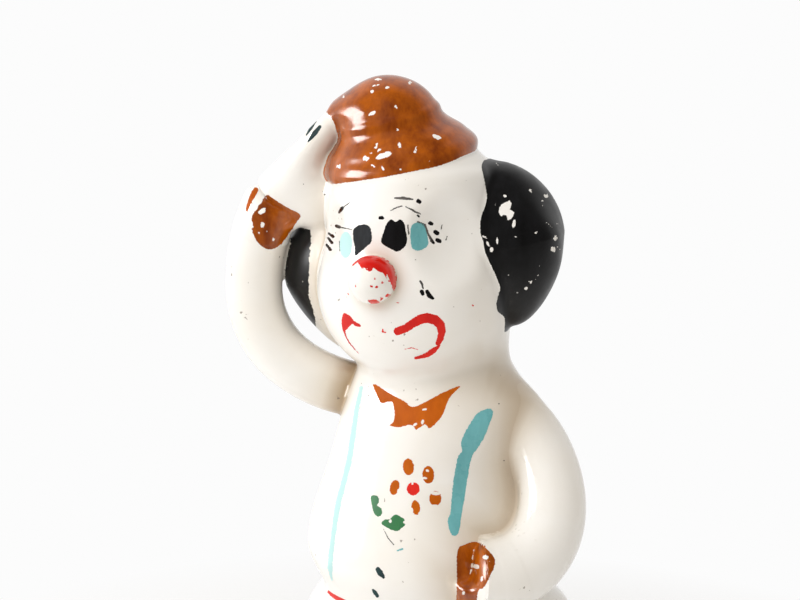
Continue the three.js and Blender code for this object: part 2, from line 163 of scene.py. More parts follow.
class FigurineHeadSizes(bpy.types.PropertyGroup):
    """Head, nose, hair and hat."""

    face: level("Face", 86.2, 32.2, 32, 5, -1.5)
    face_height: length("Face height", 32.2, "Round lower face from chin to cheekbones")
    cheekbone: level("Cheekbone", 88, 28.4, 28.4, 5, -1.5)
    temple: level("Temple", 95.2, 29, 29, 5, -1.5)
    brow: level("Brow", 100, 28.2, 28.4, 5, -1.5)
    hat_seat: level("Hat seat", 106.3, 26, 26, 5, -1.5)
    head_top: length("Head top", 111.5, "Crown of the head, inside the hat")
    socket_height: length("Socket height", 97.5, "Middle of the eye sockets above the floor")
    socket_depth: length("Socket depth", 2.3, "How deep the socket away from the raised arm is scooped")
    near_socket_depth: length("Near socket depth", 1.0, "And the one beside the raised arm")
    socket_turn: angle("Socket turn", 46, "How far round from the nose they are")
    scoop_radius: length("Scoop radius", 24, "Half width of the scoop that makes a socket")
    scoop_height: length("Scoop height", 16, "Half height of that scoop")
    nose_diameter: length("Nose diameter", 7.7, "Across the ball nose")
    nose_height: length("Nose height", 90, "Middle of the nose above the floor")
    nose_proud: length("Nose proud", 1.5, "Middle of the nose ahead of the face")
    tuft_width: length("Tuft width", 22.2, "Side to side of a hair tuft")
    tuft_depth: length("Tuft depth", 19.6, "Front to back of a hair tuft")
    tuft_height: length("Tuft height", 27.6, "Top to bottom of a hair tuft")
    tuft_taper: number("Tuft taper", 0.26, "How much a tuft narrows at its lower end")
    tuft_level: length("Tuft level", 90.2, "Middle of both tufts above the floor")
    tuft_spread: length("Tuft spread", 28.2, "Between the middles of the two tufts")
    tuft_back: length("Tuft back", 5.3, "Tufts behind the head axis")
    tuft_aside: length("Tuft aside", 2.2, "Both tufts towards the raised arm")
    tuft_drop: length("Tuft drop", 1.5, "The tuft behind the raised arm below the other")
    roll: angle("Roll", 12, "How far the tufts lean towards the raised arm")
    brim_diameter: length("Brim diameter", 25.6, "Across the rolled brim of the bowler")
    crown_diameter: length("Crown diameter", 16.6, "Across the crown of the bowler")
    crown_base: length("Crown base", 7, "Where the brim's roll ends and the dome starts")
    hat_height: length("Hat height", 14.8, "Bowler from brim to top")
    hat_aside: length("Hat aside", 3.4, "Brim centre towards the raised arm")
    crown_aside: length("Crown aside", 1.2, "How far the crown leans to the same side")
    hat_tilt: angle("Hat tilt", 12.4, "How far the bowler is tipped aside")
    hat_pitch: angle("Hat pitch", 6, "How far the bowler is tipped over the brow")
    pinch: spot("Pinch", -3.4, 0, 10.4, "Middle of the crown's fold, from the brim's middle")
    pinch_radii: spot("Pinch radii", 6.5, 6, 2.9, "Half sizes of that fold")


class FigurineArmSizes(bpy.types.PropertyGroup):
    """Both arms with their cuffs and hands."""

    shoulder_drop: length("Shoulder drop", 6.6, "Shoulders below the neck")
    shoulder_sunk: length("Shoulder sunk", 7, "How deep an arm starts inside the chest")
    shoulder_back: length("Shoulder back", 5, "Start of the raised arm behind the middle of the chest")
    shoulder_lower: length("Shoulder lower", 1.4, "Start of the raised arm below the other shoulder")
    sleeve_diameter: length("Sleeve diameter", 9.4, "Raised sleeve at the shoulder")
    forearm_diameter: length("Forearm diameter", 9.6, "Raised sleeve half way up the forearm")
    wrist_diameter: length("Wrist diameter", 9.7, "Raised sleeve at the wrist")
    cuff_length: length("Cuff length", 7.4, "Both cuffs along the arm")
    elbow_pull: spot("Elbow pull", -27.4, -15, 1.4, "Swing of the raised arm at the shoulder")
    wrist_pull: spot("Wrist pull", -21, 2, -22.8, "Swing of the raised arm at the fingertips")
    fingertip: spot("Fingertip", -12.2, -4, 7.1, "End of the arm's swing, from the brim's middle")
    hand_length: length("Hand length", 16.8, "Raised hand from the cuff to the fingertips")
    hand_tip: spot("Hand tip", -13.4, -9, 113.9, "Middle of the raised hand's fingertips")
    palm_width: length("Palm width", 8.4, "Across the hand at its cuff")
    knuckle_width: length("Knuckle width", 5.6, "Across the hand half way")
    finger_width: length("Finger width", 5.2, "Across the hand at its fingertips")
    hand_thickness: length("Hand thickness", 6.8, "Through the palm")
    web: spot("Web", -19.4, -6.5, 101, "Middle of the clay between the raised hand and the head")
    web_radius: length("Web radius", 5.4, "Size of that clay")
    hip_shoulder_diameter: length("Hip shoulder diameter", 8.2, "Other sleeve at the shoulder")
    hip_sleeve_diameter: length("Hip sleeve diameter", 11, "Other sleeve at the elbow")
    hip_cuff_diameter: length("Hip cuff diameter", 12.4, "Other sleeve and cuff at the wrist")
    hip_shoulder_pull: spot("Hip shoulder pull", 10.4, 2.3, 0.8, "Swing of the other arm at its shoulder")
    hip_wrist_pull: spot("Hip wrist pull", 17.3, 11.2, -1.5, "Swing of the other arm at its wrist")
    hip_wrist_height: length("Hip wrist height", 41.3, "Wrist at the hip above the floor")
    hip_wrist_turn: angle("Hip wrist turn", 43, "Wrist round the belly from the front")
    hip_wrist_proud: length("Hip wrist proud", 1, "Wrist outside the belly")
    pocket_back: length("Pocket back", 5.5, "Hidden fingertips behind the wrist")
    pocket_height: length("Pocket height", 28, "Hidden fingertips above the floor")


class FigurinePaints(bpy.types.PropertyGroup):
    """Glaze and enamels."""

    glaze: paint("Glaze", 249, 248, 245, "Clear glaze over off-white clay")
    glaze_warm: paint("Warm glaze", 246, 243, 237, "Glaze where it came out uneven")
    # These two are partly glaze that ran into the corners between pieces and partly painted shade, the
    # shade that falls in those corners
    glaze_pooled: paint("Pooled glaze", 206, 188, 160, "Glaze that ran into a corner of two pieces")
    glaze_deep: paint("Deep glaze", 158, 130, 96, "Glaze at the bottom of such a corner")
    speck: paint("Speck", 120, 105, 92, "Iron specks and dust under the glaze")
    brown: paint("Brown", 182, 92, 8, "Brown enamel where it is thin")
    brown_deep: paint("Deep brown", 124, 52, 0, "Brown enamel where the brush left more")
    ochre: paint("Ochre", 198, 98, 10, "Light brown enamel of the petals and the bow tie")
    ochre_deep: paint("Deep ochre", 176, 80, 4, "Light brown enamel where the brush left more")
    black: paint("Black", 24, 24, 26, "Black enamel")
    black_deep: paint("Deep black", 12, 11, 11, "Black enamel where the brush left more")
    red: paint("Red", 232, 36, 20, "Red enamel")
    red_deep: paint("Deep red", 208, 20, 12, "Red enamel where the brush left more")
    teal: paint("Teal", 118, 190, 196, "Turquoise enamel")
    teal_deep: paint("Deep teal", 104, 174, 180, "Turquoise enamel where the brush left more")
    # Painted light: the same turquoise enamel as the teal, painted lighter where strong light falls on
    # the lit side of the figure
    pale_teal: paint("Pale teal", 192, 230, 230, "Turquoise enamel brushed out thin")
    green: paint("Green", 56, 128, 74, "Leaf green enamel")
    green_deep: paint("Deep green", 40, 100, 66, "Leaf green enamel where the brush left more")
    bottle: paint("Bottle green", 52, 78, 78, "Dark green enamel of the buttons and fingers")
    bottle_deep: paint("Deep bottle green", 34, 46, 52, "Dark green enamel where the brush left more")
    worn_black: paint("Worn black", 46, 50, 54, "Black rubbed thin")
    faded: paint("Faded grey", 120, 116, 112, "Worn remains of fine black lines")
    backdrop: paint("Backdrop", 252, 252, 252, "Floor and surroundings")


class FigurineStage(bpy.types.PropertyGroup):
    """Camera and light."""

    camera_turn: angle("Camera turn", 24, "Camera round the figure from straight ahead")
    camera_lift: angle("Camera lift", 12, "Camera above the horizon")
    camera_distance: length("Camera distance", 400, "Camera from the point that it looks at")
    frame_width: length("Frame width", 140, "What the picture spans at that point")
    aim_aside: length("Aim aside", -5.775, "That point beside the body axis")
    aim_rise: length("Aim rise", 80.8, "That point up the picture from the foot of the body axis")
    floor_size: length("Floor size", 6000, "Side of the floor")
    sensor_width: length("Sensor width", 36, "Camera sensor")
    softbox_light: number("Softbox light", 3.2, "Watts of the large soft light above the front")
    window_light: number("Window light", 0.5, "Watts of the wide window at the left")
    pane_light: number("Pane light", 5.2, "Watts of the window's bright pane, seen in the gloss only")
    room_light: number("Room light", 0.38, "Warm light from the room in front")
    backdrop_light: number("Backdrop light", 0.75, "White light from the backdrop behind")


def measures(group):
    """The group's sizes, lengths in millimetres and angles in radians."""
    sizes = SimpleNamespace()
    for key in group.__annotations__:
        rule = group.bl_rna.properties[key]
        value = getattr(group, key)
        value = np.array(value) if rule.is_array else value
        setattr(sizes, key, value / MM if rule.unit == "LENGTH" else value)
    return sizes


# The body axis stands between the shoes, in the frame's own millimetres


def body_axis(forward):
    right_low, right_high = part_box("right_shoe")
    left_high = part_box("left_shoe")[1]
    x = (right_low.x + left_high.x) / 2
    y = (right_low.y + right_high.y) / 2
    return np.array([x / MM, y / MM + forward, 0.0])


# Soft distance fields, negative inside the clay


def soft_min(one, other, melt):
    if melt == 0:
        return np.minimum(one, other)
    mix = np.clip(0.5 + 0.5 * (other - one) / melt, 0, 1)
    return other + (one - other) * mix - melt * mix * (1 - mix)


def soft_max(one, other, melt):
    return -soft_min(-one, -other, melt)


def unit(vectors):
    return vectors / np.maximum(np.linalg.norm(vectors, axis=-1, keepdims=True), TINY)


def smooth_rows(knots, rows, at):
    """Rows of values, smooth between their knots and steady beyond them."""
    knots, rows = np.asarray(knots, float), np.asarray(rows, float)
    before = np.maximum(np.arange(len(knots)) - 1, 0)
    after = np.minimum(np.arange(len(knots)) + 1, len(knots) - 1)
    slopes = (rows[after] - rows[before]) / (knots[after] - knots[before])[:, None]
    index = np.clip(np.searchsorted(knots, at) - 1, 0, len(knots) - 2)
    width = (knots[index + 1] - knots[index])[:, None]
    share = np.clip((at - knots[index])[:, None] / width, 0, 1)
    rise = share * share * (3 - 2 * share)
    leave = share * (1 - share) ** 2 * width
    arrive = share * share * (share - 1) * width
    straight = (1 - rise) * rows[index] + rise * rows[index + 1]
    return straight + leave * slopes[index] + arrive * slopes[index + 1]


def rows_of(*levels, aside=0.0):
    """Height, half width, half depth and middle of each level."""
    rows = []
    for height, width, depth, forward, lean in levels:
        rows.append([height, width / 2, depth / 2, lean + aside, -forward])
    return np.array(rows)


def girth(rows, height):
    """Half width, half depth and centre of a body at one height."""
    return smooth_rows(rows[:, 0], rows[:, 1:], np.array([height]))[0]


def oval(across, along, half_across, half_along):
    """Distance to an ellipse in its plane."""
    reach = np.hypot(across, along)
    ratio = np.maximum(np.hypot(across / half_across, along / half_along), TINY)
    return np.maximum(reach * (1 - 1 / ratio), -np.minimum(half_across, half_along))


def stack(rows, edge):
    """A body of level ellipses, its flat ends rounded by edge."""

    def distance(points):
        height = points[:, 2]
        half_width, half_depth, x, y = smooth_rows(rows[:, 0], rows[:, 1:], height).T
        side = oval(points[:, 0] - x, points[:, 1] - y, half_width, half_depth)
        end = np.maximum(height - rows[-1, 0], rows[0, 0] - height)
        return soft_max(side, end, edge)

    return distance


def lobe(centre, radii, turn=None):
    """An egg of three radii, turned about its middle."""
    centre = np.asarray(centre, float)
    radii = np.asarray(radii, float)

    def distance(points):
        offset = points - centre
        if turn is not None:
            offset = offset @ turn
        near = np.linalg.norm(offset / radii, axis=1)
        steep = np.linalg.norm(offset / radii**2, axis=1)
        return near * (near - 1) / np.maximum(steep, TINY)

    return distance


def limb(spine, half_width, half_thickness, edges, reference):
    """A tube along a spine with an oval section, its two flat ends rounded by edges."""
    last = len(spine) - 2
    steps = np.diff(spine, axis=0)
    spans = np.linalg.norm(steps, axis=1)
    along = unit(np.gradient(spine, axis=0))
    across = unit(np.cross(along, reference))
    through = np.cross(along, across)
    overrun = 2 * half_width.max() / spans.min()
    stops = np.arange(len(spine))

    def distance(points):
        nearest = np.full(len(points), FAR**2)
        place = np.zeros(len(points))
        for index, step in enumerate(steps):
            share = (points - spine[index]) @ step / (step @ step)
            share = np.clip(share, -overrun if index == 0 else 0, 1 + overrun if index == last else 1)
            gap = np.sum((points - spine[index] - share[:, None] * step) ** 2, axis=1)
            closer = gap < nearest
            nearest[closer] = gap[closer]
            place[closer] = index + share[closer]
        index = np.clip(np.floor(place).astype(int), 0, last)
        share = (place - index)[:, None]
        offset = points - spine[index] - share * steps[index]
        blend = np.clip(share, 0, 1)
        sideways = np.sum(offset * ((1 - blend) * across[index] + blend * across[index + 1]), axis=1)
        inwards = np.sum(offset * ((1 - blend) * through[index] + blend * through[index + 1]), axis=1)
        wide = np.interp(place, stops, half_width)
        thick = np.interp(place, stops, half_thickness)
        side = oval(sideways, inwards, wide, thick)
        start = np.where(place < 1, -place * spans[0], -FAR)
        end = np.where(place > last, (place - last - 1) * spans[-1], -FAR)
        return soft_max(soft_max(side, start, edges[0]), end, edges[1])

    return distance


def melted(*fields, melt):
    """Several forms run together, as widely as melt."""

    def distance(points):
        whole = fields[0](points)
        for field in fields[1:]:
            whole = soft_min(whole, field(points), melt)
        return whole

    return distance


def turned(radians, axis):
    return np.array(Matrix.Rotation(radians, 3, axis))


# The pieces


def trousers_form(body):
    hips = stack(rows_of(body.crotch, body.hips, body.trouser_top, body.waist), FLANK_EDGE)
    legs = []
    for side in (-1, 1):
        rows = rows_of(body.hem, body.knee, body.leg_top, aside=side * body.shoe_spread / 2)
        legs.append(stack(rows, edge=1.2))
    return melted(hips, *legs, melt=2.2)


def torso_rows(body):
    return rows_of(body.waist, body.belly, body.ribs, body.chest, body.neck, body.neck_top)


def shoe_form(body, side):
    """A round-toed clown shoe on a flat sole with a proud welt."""
    width, depth, height = body.shoe_width, body.shoe_length, body.shoe_height

    def ring(rise, narrower, shorter, forward=0):
        return (rise, width - narrower, depth - shorter, forward, 0)

    sole = stack(rows_of(ring(0, 1.4, 2), ring(1.2, 0, 0), ring(2.5, 0, 0)), edge=0.7)
    instep = ring(height + 1, width / 2, depth / 2, forward=-2)
    upper = stack(rows_of(ring(1, 2, 2), ring(5, 3.4, 5), instep), edge=1.5)
    toe = lobe((0, -depth / 4, 4.2), (width / 2 - 0.9, depth / 4 - 0.6, 4.6))
    shoe = melted(upper, toe, melt=1.6)
    turn = turned(side * body.toe_out, "Z")
    middle = np.array([side * body.shoe_spread / 2, -body.shoe_forward, 0.0])

    def distance(points):
        level_points = (points - middle) @ turn
        return soft_min(sole(level_points), shoe(level_points), melt=0.35)

    return distance


def skull_rows(head):
    return rows_of(head.cheekbone, head.temple, head.brow, head.hat_seat)


def face_middle(head):
    height, width, depth, forward, aside = head.face
    return np.array([aside, -forward, height]), np.array([width, depth, head.face_height]) / 2


def socket_scoop(head, side):
    """The space in front of one eye socket."""
    _, width, _, forward, aside = head.temple
    outward = np.array([math.sin(side * head.socket_turn), -math.cos(head.socket_turn), 0.0])
    centre = np.array([aside, -forward, head.socket_height])
    scooped = head.socket_depth if side > 0 else head.near_socket_depth
    centre = centre + outward * (width / 2 - scooped + head.scoop_radius)
    return lobe(centre, (head.scoop_radius, head.scoop_radius, head.scoop_height))


def head_form(head):
    """A round lower face under a narrower brow with eye sockets, and a dome that carries the hat."""
    height, width, depth, forward, aside = head.hat_seat
    sunk = 2  # the dome's middle below the hat's seat
    inset = 0.2
    radii = (width / 2 - inset, depth / 2 - inset, head.head_top - height + sunk)
    dome = lobe((aside, -forward, height - sunk), radii)
    solid = melted(stack(skull_rows(head), edge=1.5), dome, lobe(*face_middle(head)), melt=1.2)
    scoops = [socket_scoop(head, side) for side in (-1, 1)]

    def distance(points):
        clear = np.min([scoop(points) for scoop in scoops], axis=0)
        return soft_max(solid(points), -clear, SOCKET_RIM)

    return distance


def nose_form(head):
    middle, radii = face_middle(head)
    rise = (head.nose_height - middle[2]) / radii[2]
    front = middle[1] - radii[1] * math.sqrt(1 - rise**2)
    centre = (middle[0], front - head.nose_proud, head.nose_height)
    return lobe(centre, (head.nose_diameter / 2,) * 3)


def tuft_form(head, side):
    """A lock of hair as an egg that narrows downwards, with a shallow wave combed into it."""
    turn = turned(-head.roll, "Y")
    seat = np.array([-head.tuft_aside, -head.face[3], head.tuft_level])
    drop = head.tuft_drop if side < 0 else 0.0
    centre = seat + turn @ np.array([side * head.tuft_spread / 2, head.tuft_back, -drop])
    radii = np.array([head.tuft_width, head.tuft_depth, head.tuft_height]) / 2
    egg = lobe((0, 0, 0), radii)

    def distance(points):
        offset = (points - centre) @ turn
        narrow = 1 + head.tuft_taper * np.minimum(offset[:, 2] / radii[2], 0)
        wave = np.sin(0.5 * offset[:, 1] + 0.25 * offset[:, 2] + 0.5) * np.cos(0.16 * offset[:, 2])
        offset[:, :2] /= narrow[:, None]
        return egg(offset) * narrow + COMB_DEPTH * wave

    return distance


def brim_middle(head):
    return np.array([-head.hat_aside, -head.hat_seat[3], head.hat_seat[0]])


def hat_form(head):
    """A bowler with a thick rolled brim, leant to one side and tipped on the head."""
    brim, crown, base = head.brim_diameter, head.crown_diameter, head.crown_base
    hem = ((-0.8, brim - 3), (0, brim - 0.8), (1, brim), (2, brim - 0.6))
    roll = ((3, brim - 2), (4, brim - 3.4), (5, brim - 5.4), (base - 1, crown + 1.6))
    side = ((base, crown), (base + 1, crown))
    rings = [(height, width, width, 0, 0) for height, width in hem + roll + side]
    flare = stack(rows_of(*rings), edge=0.8)
    dome = lobe((0, 0, base), (crown / 2, crown / 2, head.hat_height - base))
    fold = lobe(head.pinch, head.pinch_radii)
    bowler = melted(flare, dome, fold, melt=1.4)
    turn = turned(-head.hat_tilt, "Y") @ turned(head.hat_pitch, "X")
    seat = brim_middle(head)
    lean = head.crown_aside / head.hat_height

    def distance(points):
        upright = (points - seat) @ turn
        upright[:, 0] += lean * upright[:, 2]
        return bowler(upright)

    return distance


def shoulder(body, arms, side):
    height = body.neck[0] - arms.shoulder_drop
    half_width, _, x, y = girth(torso_rows(body), height)
    return np.array([x + side * (half_width - arms.shoulder_sunk), y, height])


def evenly(points, start, end, count):
    """Points at even steps along a finely drawn curve, from one length to another."""
    travelled = np.concatenate([[0], np.cumsum(np.linalg.norm(np.diff(points, axis=0), axis=1))])
    stops = np.linspace(start, end, count)
    return np.stack([np.interp(stops, travelled, column) for column in points.T], axis=1)


def drawn_length(points):
    return np.sum(np.linalg.norm(np.diff(points, axis=0), axis=1))


def swing(start, first_pull, last_pull, end):
    """A smooth curve between two points, drawn out towards two others."""
    share = np.linspace(0, 1, CURVE_POINTS)[:, None]
    first = 3 * share * (1 - share) ** 2
    last = 3 * share**2 * (1 - share)
    return (1 - share) ** 3 * start + first * first_pull + last * last_pull + share**3 * end


def raised_curve(body, head, arms):
    """From the chest out to the side, round the elbow and up to the hat."""
    start = shoulder(body, arms, -1) - [0, -arms.shoulder_back, arms.shoulder_lower]
    end = brim_middle(head) + arms.fingertip
    return swing(start, start + arms.elbow_pull, end + arms.wrist_pull, end)


def hip_curve(body, arms):
    """From the other shoulder down to the elbow and round to the trouser pocket."""
    half_width, half_depth, x, y = girth(torso_rows(body), arms.hip_wrist_height)
    across = (half_width + arms.hip_wrist_proud) * math.sin(arms.hip_wrist_turn)
    ahead = (half_depth + arms.hip_wrist_proud) * math.cos(arms.hip_wrist_turn)
    wrist = np.array([x + across, y - ahead, arms.hip_wrist_height])
    start = shoulder(body, arms, 1)
    return swing(start, start + arms.hip_shoulder_pull, wrist + arms.hip_wrist_pull, wrist)


FRONT = np.array([0.0, -1.0, 0.0])
SIDEWAYS = np.array([1.0, 0.0, 0.0])


def taper(count, *sizes):
    """Half of a size that changes smoothly along a limb."""
    rows = np.array(sizes)[:, None] / 2
    return smooth_rows(np.linspace(0, 1, len(sizes)), rows, np.linspace(0, 1, count))[:, 0]


def part_taper(count, start, end, *sizes):
    """The stretch of a taper between two shares of its length."""
    whole = taper(TAPER_POINTS, *sizes)
    return np.interp(np.linspace(start, end, count), np.linspace(0, 1, TAPER_POINTS), whole)


def fingertips(half, steepness=0.75):
    """A hand's section, rounding off at its end."""
    return half * np.sqrt(1 - steepness * np.linspace(0, 1, len(half)) ** 6)


class Sleeve:
    """A sleeve and its cuff along one curve, with one taper from the shoulder to the wrist."""

    def __init__(self, curve, wrist, cuff_length, sizes, reference):
        self.curve = curve
        self.wrist = wrist
        self.cuff_start = wrist - cuff_length
        self.sizes = sizes
        self.reference = reference

    def tube(self, start, end, count, edges, proud=0.0):
        half = part_taper(count, start / self.wrist, end / self.wrist, *self.sizes) + proud
        return limb(evenly(self.curve, start, end, count), half, half, edges, self.reference)

    def arm(self, count, edges):
        return self.tube(0, self.cuff_start + CUFF_LAP, count, edges)

    def cuff(self, count, edges):
        return self.tube(self.cuff_start, self.wrist, count, edges, CUFF_PROUD)


def raised_forms(body, head, arms):
    curve = raised_curve(body, head, arms)
    total = drawn_length(curve)
    cuff_end = total - arms.hand_length
    sizes = (arms.sleeve_diameter, arms.forearm_diameter, arms.wrist_diameter)
    sleeve = Sleeve(curve, cuff_end, arms.cuff_length, sizes, FRONT)
    wrist = evenly(curve, cuff_end, total, 2)[0]
    count = RAISED_POINTS.hand
    hand = limb(
        np.linspace(wrist, arms.hand_tip, count),
        fingertips(taper(count, arms.palm_width, arms.knuckle_width, arms.finger_width)),
        fingertips(taper(count, arms.hand_thickness, arms.hand_thickness)),
        edges=(1.0, 1.0),
        reference=FRONT,
    )
    web = lobe(arms.web, (arms.web_radius, arms.web_radius * 0.7, arms.web_radius * 1.2))
    return {
        "raised_arm": sleeve.arm(RAISED_POINTS.sleeve, edges=(4.5, 0.8)),
        "raised_cuff": sleeve.cuff(RAISED_POINTS.cuff, edges=(0.5, 2.2)),
        "raised_hand": melted(hand, web, melt=3.0),
    }


def hip_forms(body, arms):
    curve = hip_curve(body, arms)
    sizes = (arms.hip_shoulder_diameter, arms.hip_sleeve_diameter, arms.hip_cuff_diameter)
    sleeve = Sleeve(curve, drawn_length(curve), arms.cuff_length, sizes, SIDEWAYS)
    wrist = curve[-1]
    pocket = np.array([wrist[0], wrist[1] + arms.pocket_back, arms.pocket_height])
    palm = fingertips(np.full(HIP_POINTS.hand, arms.hand_thickness / 2))
    inside = np.linspace(wrist, pocket, HIP_POINTS.hand)
    return {
        "hip_arm": sleeve.arm(HIP_POINTS.sleeve, edges=(0.8, 0.6)),
        "hip_cuff": sleeve.cuff(HIP_POINTS.cuff, edges=(0.6, 3.5)),
        "hip_hand": limb(inside, palm, palm, edges=(1.2, 1.2), reference=SIDEWAYS),
    }


def ripple(points):
    """The slight unevenness of a form that was smoothed by hand."""
    x, y, z = points.T
    swell = np.sin(0.43 * x + 0.21 * z + 1) * np.sin(0.38 * y - 0.27 * z)
    return RIPPLE_HEIGHT * (swell + np.sin(0.33 * z + 0.25 * x))


# How thick the glaze is at the bottom of a corner, and how strong the painted shade is there, from 0 to 1
THIN_POOL_SHADE = 0.66
FULL_POOL_SHADE = 0.8
DEEP_POOL_SHADE = 1.0
# How far each piece's glaze is creamier and darker beside the body, in millimetres, and how thick it is
# there: partly glaze that ran into the corner, partly painted shade between the parts
POOL_SHADES = {
    "raised_arm": (14.0, DEEP_POOL_SHADE),
    "raised_hand": (8.0, THIN_POOL_SHADE),
    "hip_arm": (9.0, FULL_POOL_SHADE),
    "hip_cuff": (9.0, THIN_POOL_SHADE),
    "hip_hand": (9.0, THIN_POOL_SHADE),
    "nose": (3.0, THIN_POOL_SHADE),
    "right_hair": (9.0, THIN_POOL_SHADE),
}
# The same, glaze and painted shade, for the body's own glaze beside a piece
BODY_POOL_SHADES = {
    "raised_arm": (6.0, DEEP_POOL_SHADE),
    "hip_arm": (14.0, FULL_POOL_SHADE),
    "hip_cuff": (9.0, THIN_POOL_SHADE),
    "hip_hand": (9.0, THIN_POOL_SHADE),
    "nose": (3.0, THIN_POOL_SHADE),
}


class Figure:
    """The whole clown: each piece a distance field, melted into the ones before it."""

    def __init__(self, axis):
        self.axis = axis
        self.parts = {}

    def add(self, name, field, melt):
        low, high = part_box(name)
        low = np.array(low) / MM - self.axis - REACH
        high = np.array(high) / MM - self.axis + REACH
        self.parts[name] = SimpleNamespace(field=field, melt=melt, low=low, high=high)

    def distances(self, points):
        rows = np.full((len(self.parts), len(points)), FAR)
        for row, part in zip(rows, self.parts.values()):
            near = np.all((points > part.low) & (points < part.high), axis=1)
            if near.any():
                row[near] = part.field(points[near])
        return rows

    def pooled_shade(self, name, points):
        """How thick the glaze ran into the corner between the body and a piece on it, with the painted
        shade laid there, from 0 to 1.
        """
        thickness = np.zeros(len(points))
        if name in POOL_SHADES:
            corners = {body: POOL_SHADES[name] for body in ("torso", "head")}
        elif name in ("torso", "head"):
            corners = BODY_POOL_SHADES
        else:
            return thickness
        for key, (reach, depth) in corners.items():
            near = np.clip(1 - self.parts[key].field(points) / reach, 0, 1)
            thickness = np.maximum(thickness, depth * near**2)
        return thickness

    def melt(self, rows, points):
        whole = rows[0]
        for row, part in zip(rows[1:], list(self.parts.values())[1:]):
            whole = soft_min(whole, row, part.melt)
        return np.maximum(whole + ripple(points), -points[:, 2])

    def surface(self, points):
        return self.melt(self.distances(points), points)

    def piece(self, name):
        """One piece's share of the surface, lapping under its neighbours."""
        index = list(self.parts).index(name)

        def distance(points):
            rows = self.distances(points)
            rest = np.delete(rows, index, axis=0).min(axis=0)
            past = (rows[index] - rest) / 2
            sunk = SEAM_SINK * np.clip(past / SEAM_LAP, 0, 1)
            return np.maximum(self.melt(rows, points) + sunk, past - SEAM_LAP)

        return distance


def model(scene):
    """Every piece of the clown, in the order in which the clay is put together."""
    body = measures(scene.figurine_body)
    head = measures(scene.figurine_head)
    arms = measures(scene.figurine_arms)
    figure = Figure(body_axis(body.shoe_forward))
    figure.add("torso", stack(torso_rows(body), FLANK_EDGE), melt=0)
    figure.add("trousers", trousers_form(body), melt=1.0)
    raised = raised_forms(body, head, arms)
    hip = hip_forms(body, arms)
    figure.add("raised_arm", raised["raised_arm"], melt=1.2)
    figure.add("hip_arm", hip["hip_arm"], melt=3.2)
    figure.add("head", head_form(head), melt=3.0)
    figure.add("raised_hand", raised["raised_hand"], melt=3.0)
    figure.add("right_hair", tuft_form(head, -1), melt=1.2)
    figure.add("left_hair", tuft_form(head, 1), melt=1.2)
    figure.add("raised_cuff", raised["raised_cuff"], melt=0.2)
    figure.add("hip_cuff", hip["hip_cuff"], melt=0.2)
    figure.add("hip_hand", hip["hip_hand"], melt=1.6)
    figure.add("hat", hat_form(head), melt=1.2)
    figure.add("nose", nose_form(head), melt=0.7)
    figure.add("right_shoe", shoe_form(body, -1), melt=0.5)
    figure.add("left_shoe", shoe_form(body, 1), melt=0.5)
    return figure


# Meshing a field

BLOCK = 4  # cells along a block
SAFE_REACH = 2.2  # blocks that may hold the surface, in block widths
SETTLE_ROUNDS = 2
LEAST_SLOPE = 0.1  # of a field, squared
LARGEST_MOVE = 0.6  # of a cell


def sample(field, low, high, cell):
    """The field on a lattice, worked out in full only in blocks near its surface."""
    counts = np.ceil((high - low) / (cell * BLOCK)).astype(int)
    corners = np.stack(np.meshgrid(*map(np.arange, counts), indexing="ij"), axis=-1).reshape(-1, 3)
    inner = np.stack(np.meshgrid(*[np.arange(BLOCK)] * 3, indexing="ij"), axis=-1).reshape(-1, 3)
    rough = field(low + (corners * BLOCK + (BLOCK - 1) / 2) * cell)
    values = np.repeat(rough[:, None], BLOCK**3, axis=1)
    close = np.abs(rough) < BLOCK * cell * SAFE_REACH
    points = low + (corners[close][:, None] * BLOCK + inner) * cell
    values[close] = field(points.reshape(-1, 3)).reshape(-1, BLOCK**3)
    blocks = values.reshape(*counts, BLOCK, BLOCK, BLOCK).transpose(0, 3, 1, 4, 2, 5)
    return blocks.reshape(counts * BLOCK)


CUBE = np.array([[x, y, z] for x in (0, 1) for y in (0, 1) for z in (0, 1)])
CUBE_EDGES = [(a, b) for a in range(8) for b in range(a + 1, 8) if np.abs(CUBE[a] - CUBE[b]).sum() == 1]


def skin(values, low, cell):
    """Points and quads of the closed surface where the lattice changes sign."""
    inside = values < 0
    windows = []
    for corner in CUBE:
        sides = zip(corner, values.shape)
        windows.append(tuple(slice(shift, size - 1 + shift) for shift, size in sides))
    filled = sum(inside[window].astype(int) for window in windows)
    mixed = (filled > 0) & (filled < 8)
    number = np.full(mixed.shape, -1)
    number[mixed] = np.arange(mixed.sum())
    at_corner = np.stack([values[window][mixed] for window in windows], axis=1)
    place = np.zeros((len(at_corner), 3))
    crossings = np.zeros((len(at_corner), 1))
    for one, other in CUBE_EDGES:
        start, end = at_corner[:, one], at_corner[:, other]
        crossed = ((start < 0) != (end < 0))[:, None]
        share = (start / np.where(start == end, 1, start - end))[:, None]
        place += crossed * (CUBE[one] + share * (CUBE[other] - CUBE[one]))
        crossings += crossed
    points = low + (np.argwhere(mixed) + place / crossings) * cell
    quads = [faces_across(inside, number, axis) for axis in range(3)]
    return points, np.concatenate(quads)


def faces_across(inside, number, axis):
    """A quad for each lattice edge along one axis that crosses the surface."""
    step = np.eye(3, dtype=int)
    side, over = step[(axis + 1) % 3], step[(axis + 2) % 3]
    ahead = np.roll(inside, -1, axis=axis)
    edges = np.argwhere(inside != ahead)
    room = np.array(inside.shape) - 1
    edges = edges[np.all((edges > 0) & (edges < room), axis=1)]
    ring = [edges - side - over, edges - over, edges, edges - side]
    quads = np.stack([number[tuple(cells.T)] for cells in ring], axis=1)
    outward = inside[tuple(edges.T)]
    return np.where(outward[:, None], quads, quads[:, ::-1])


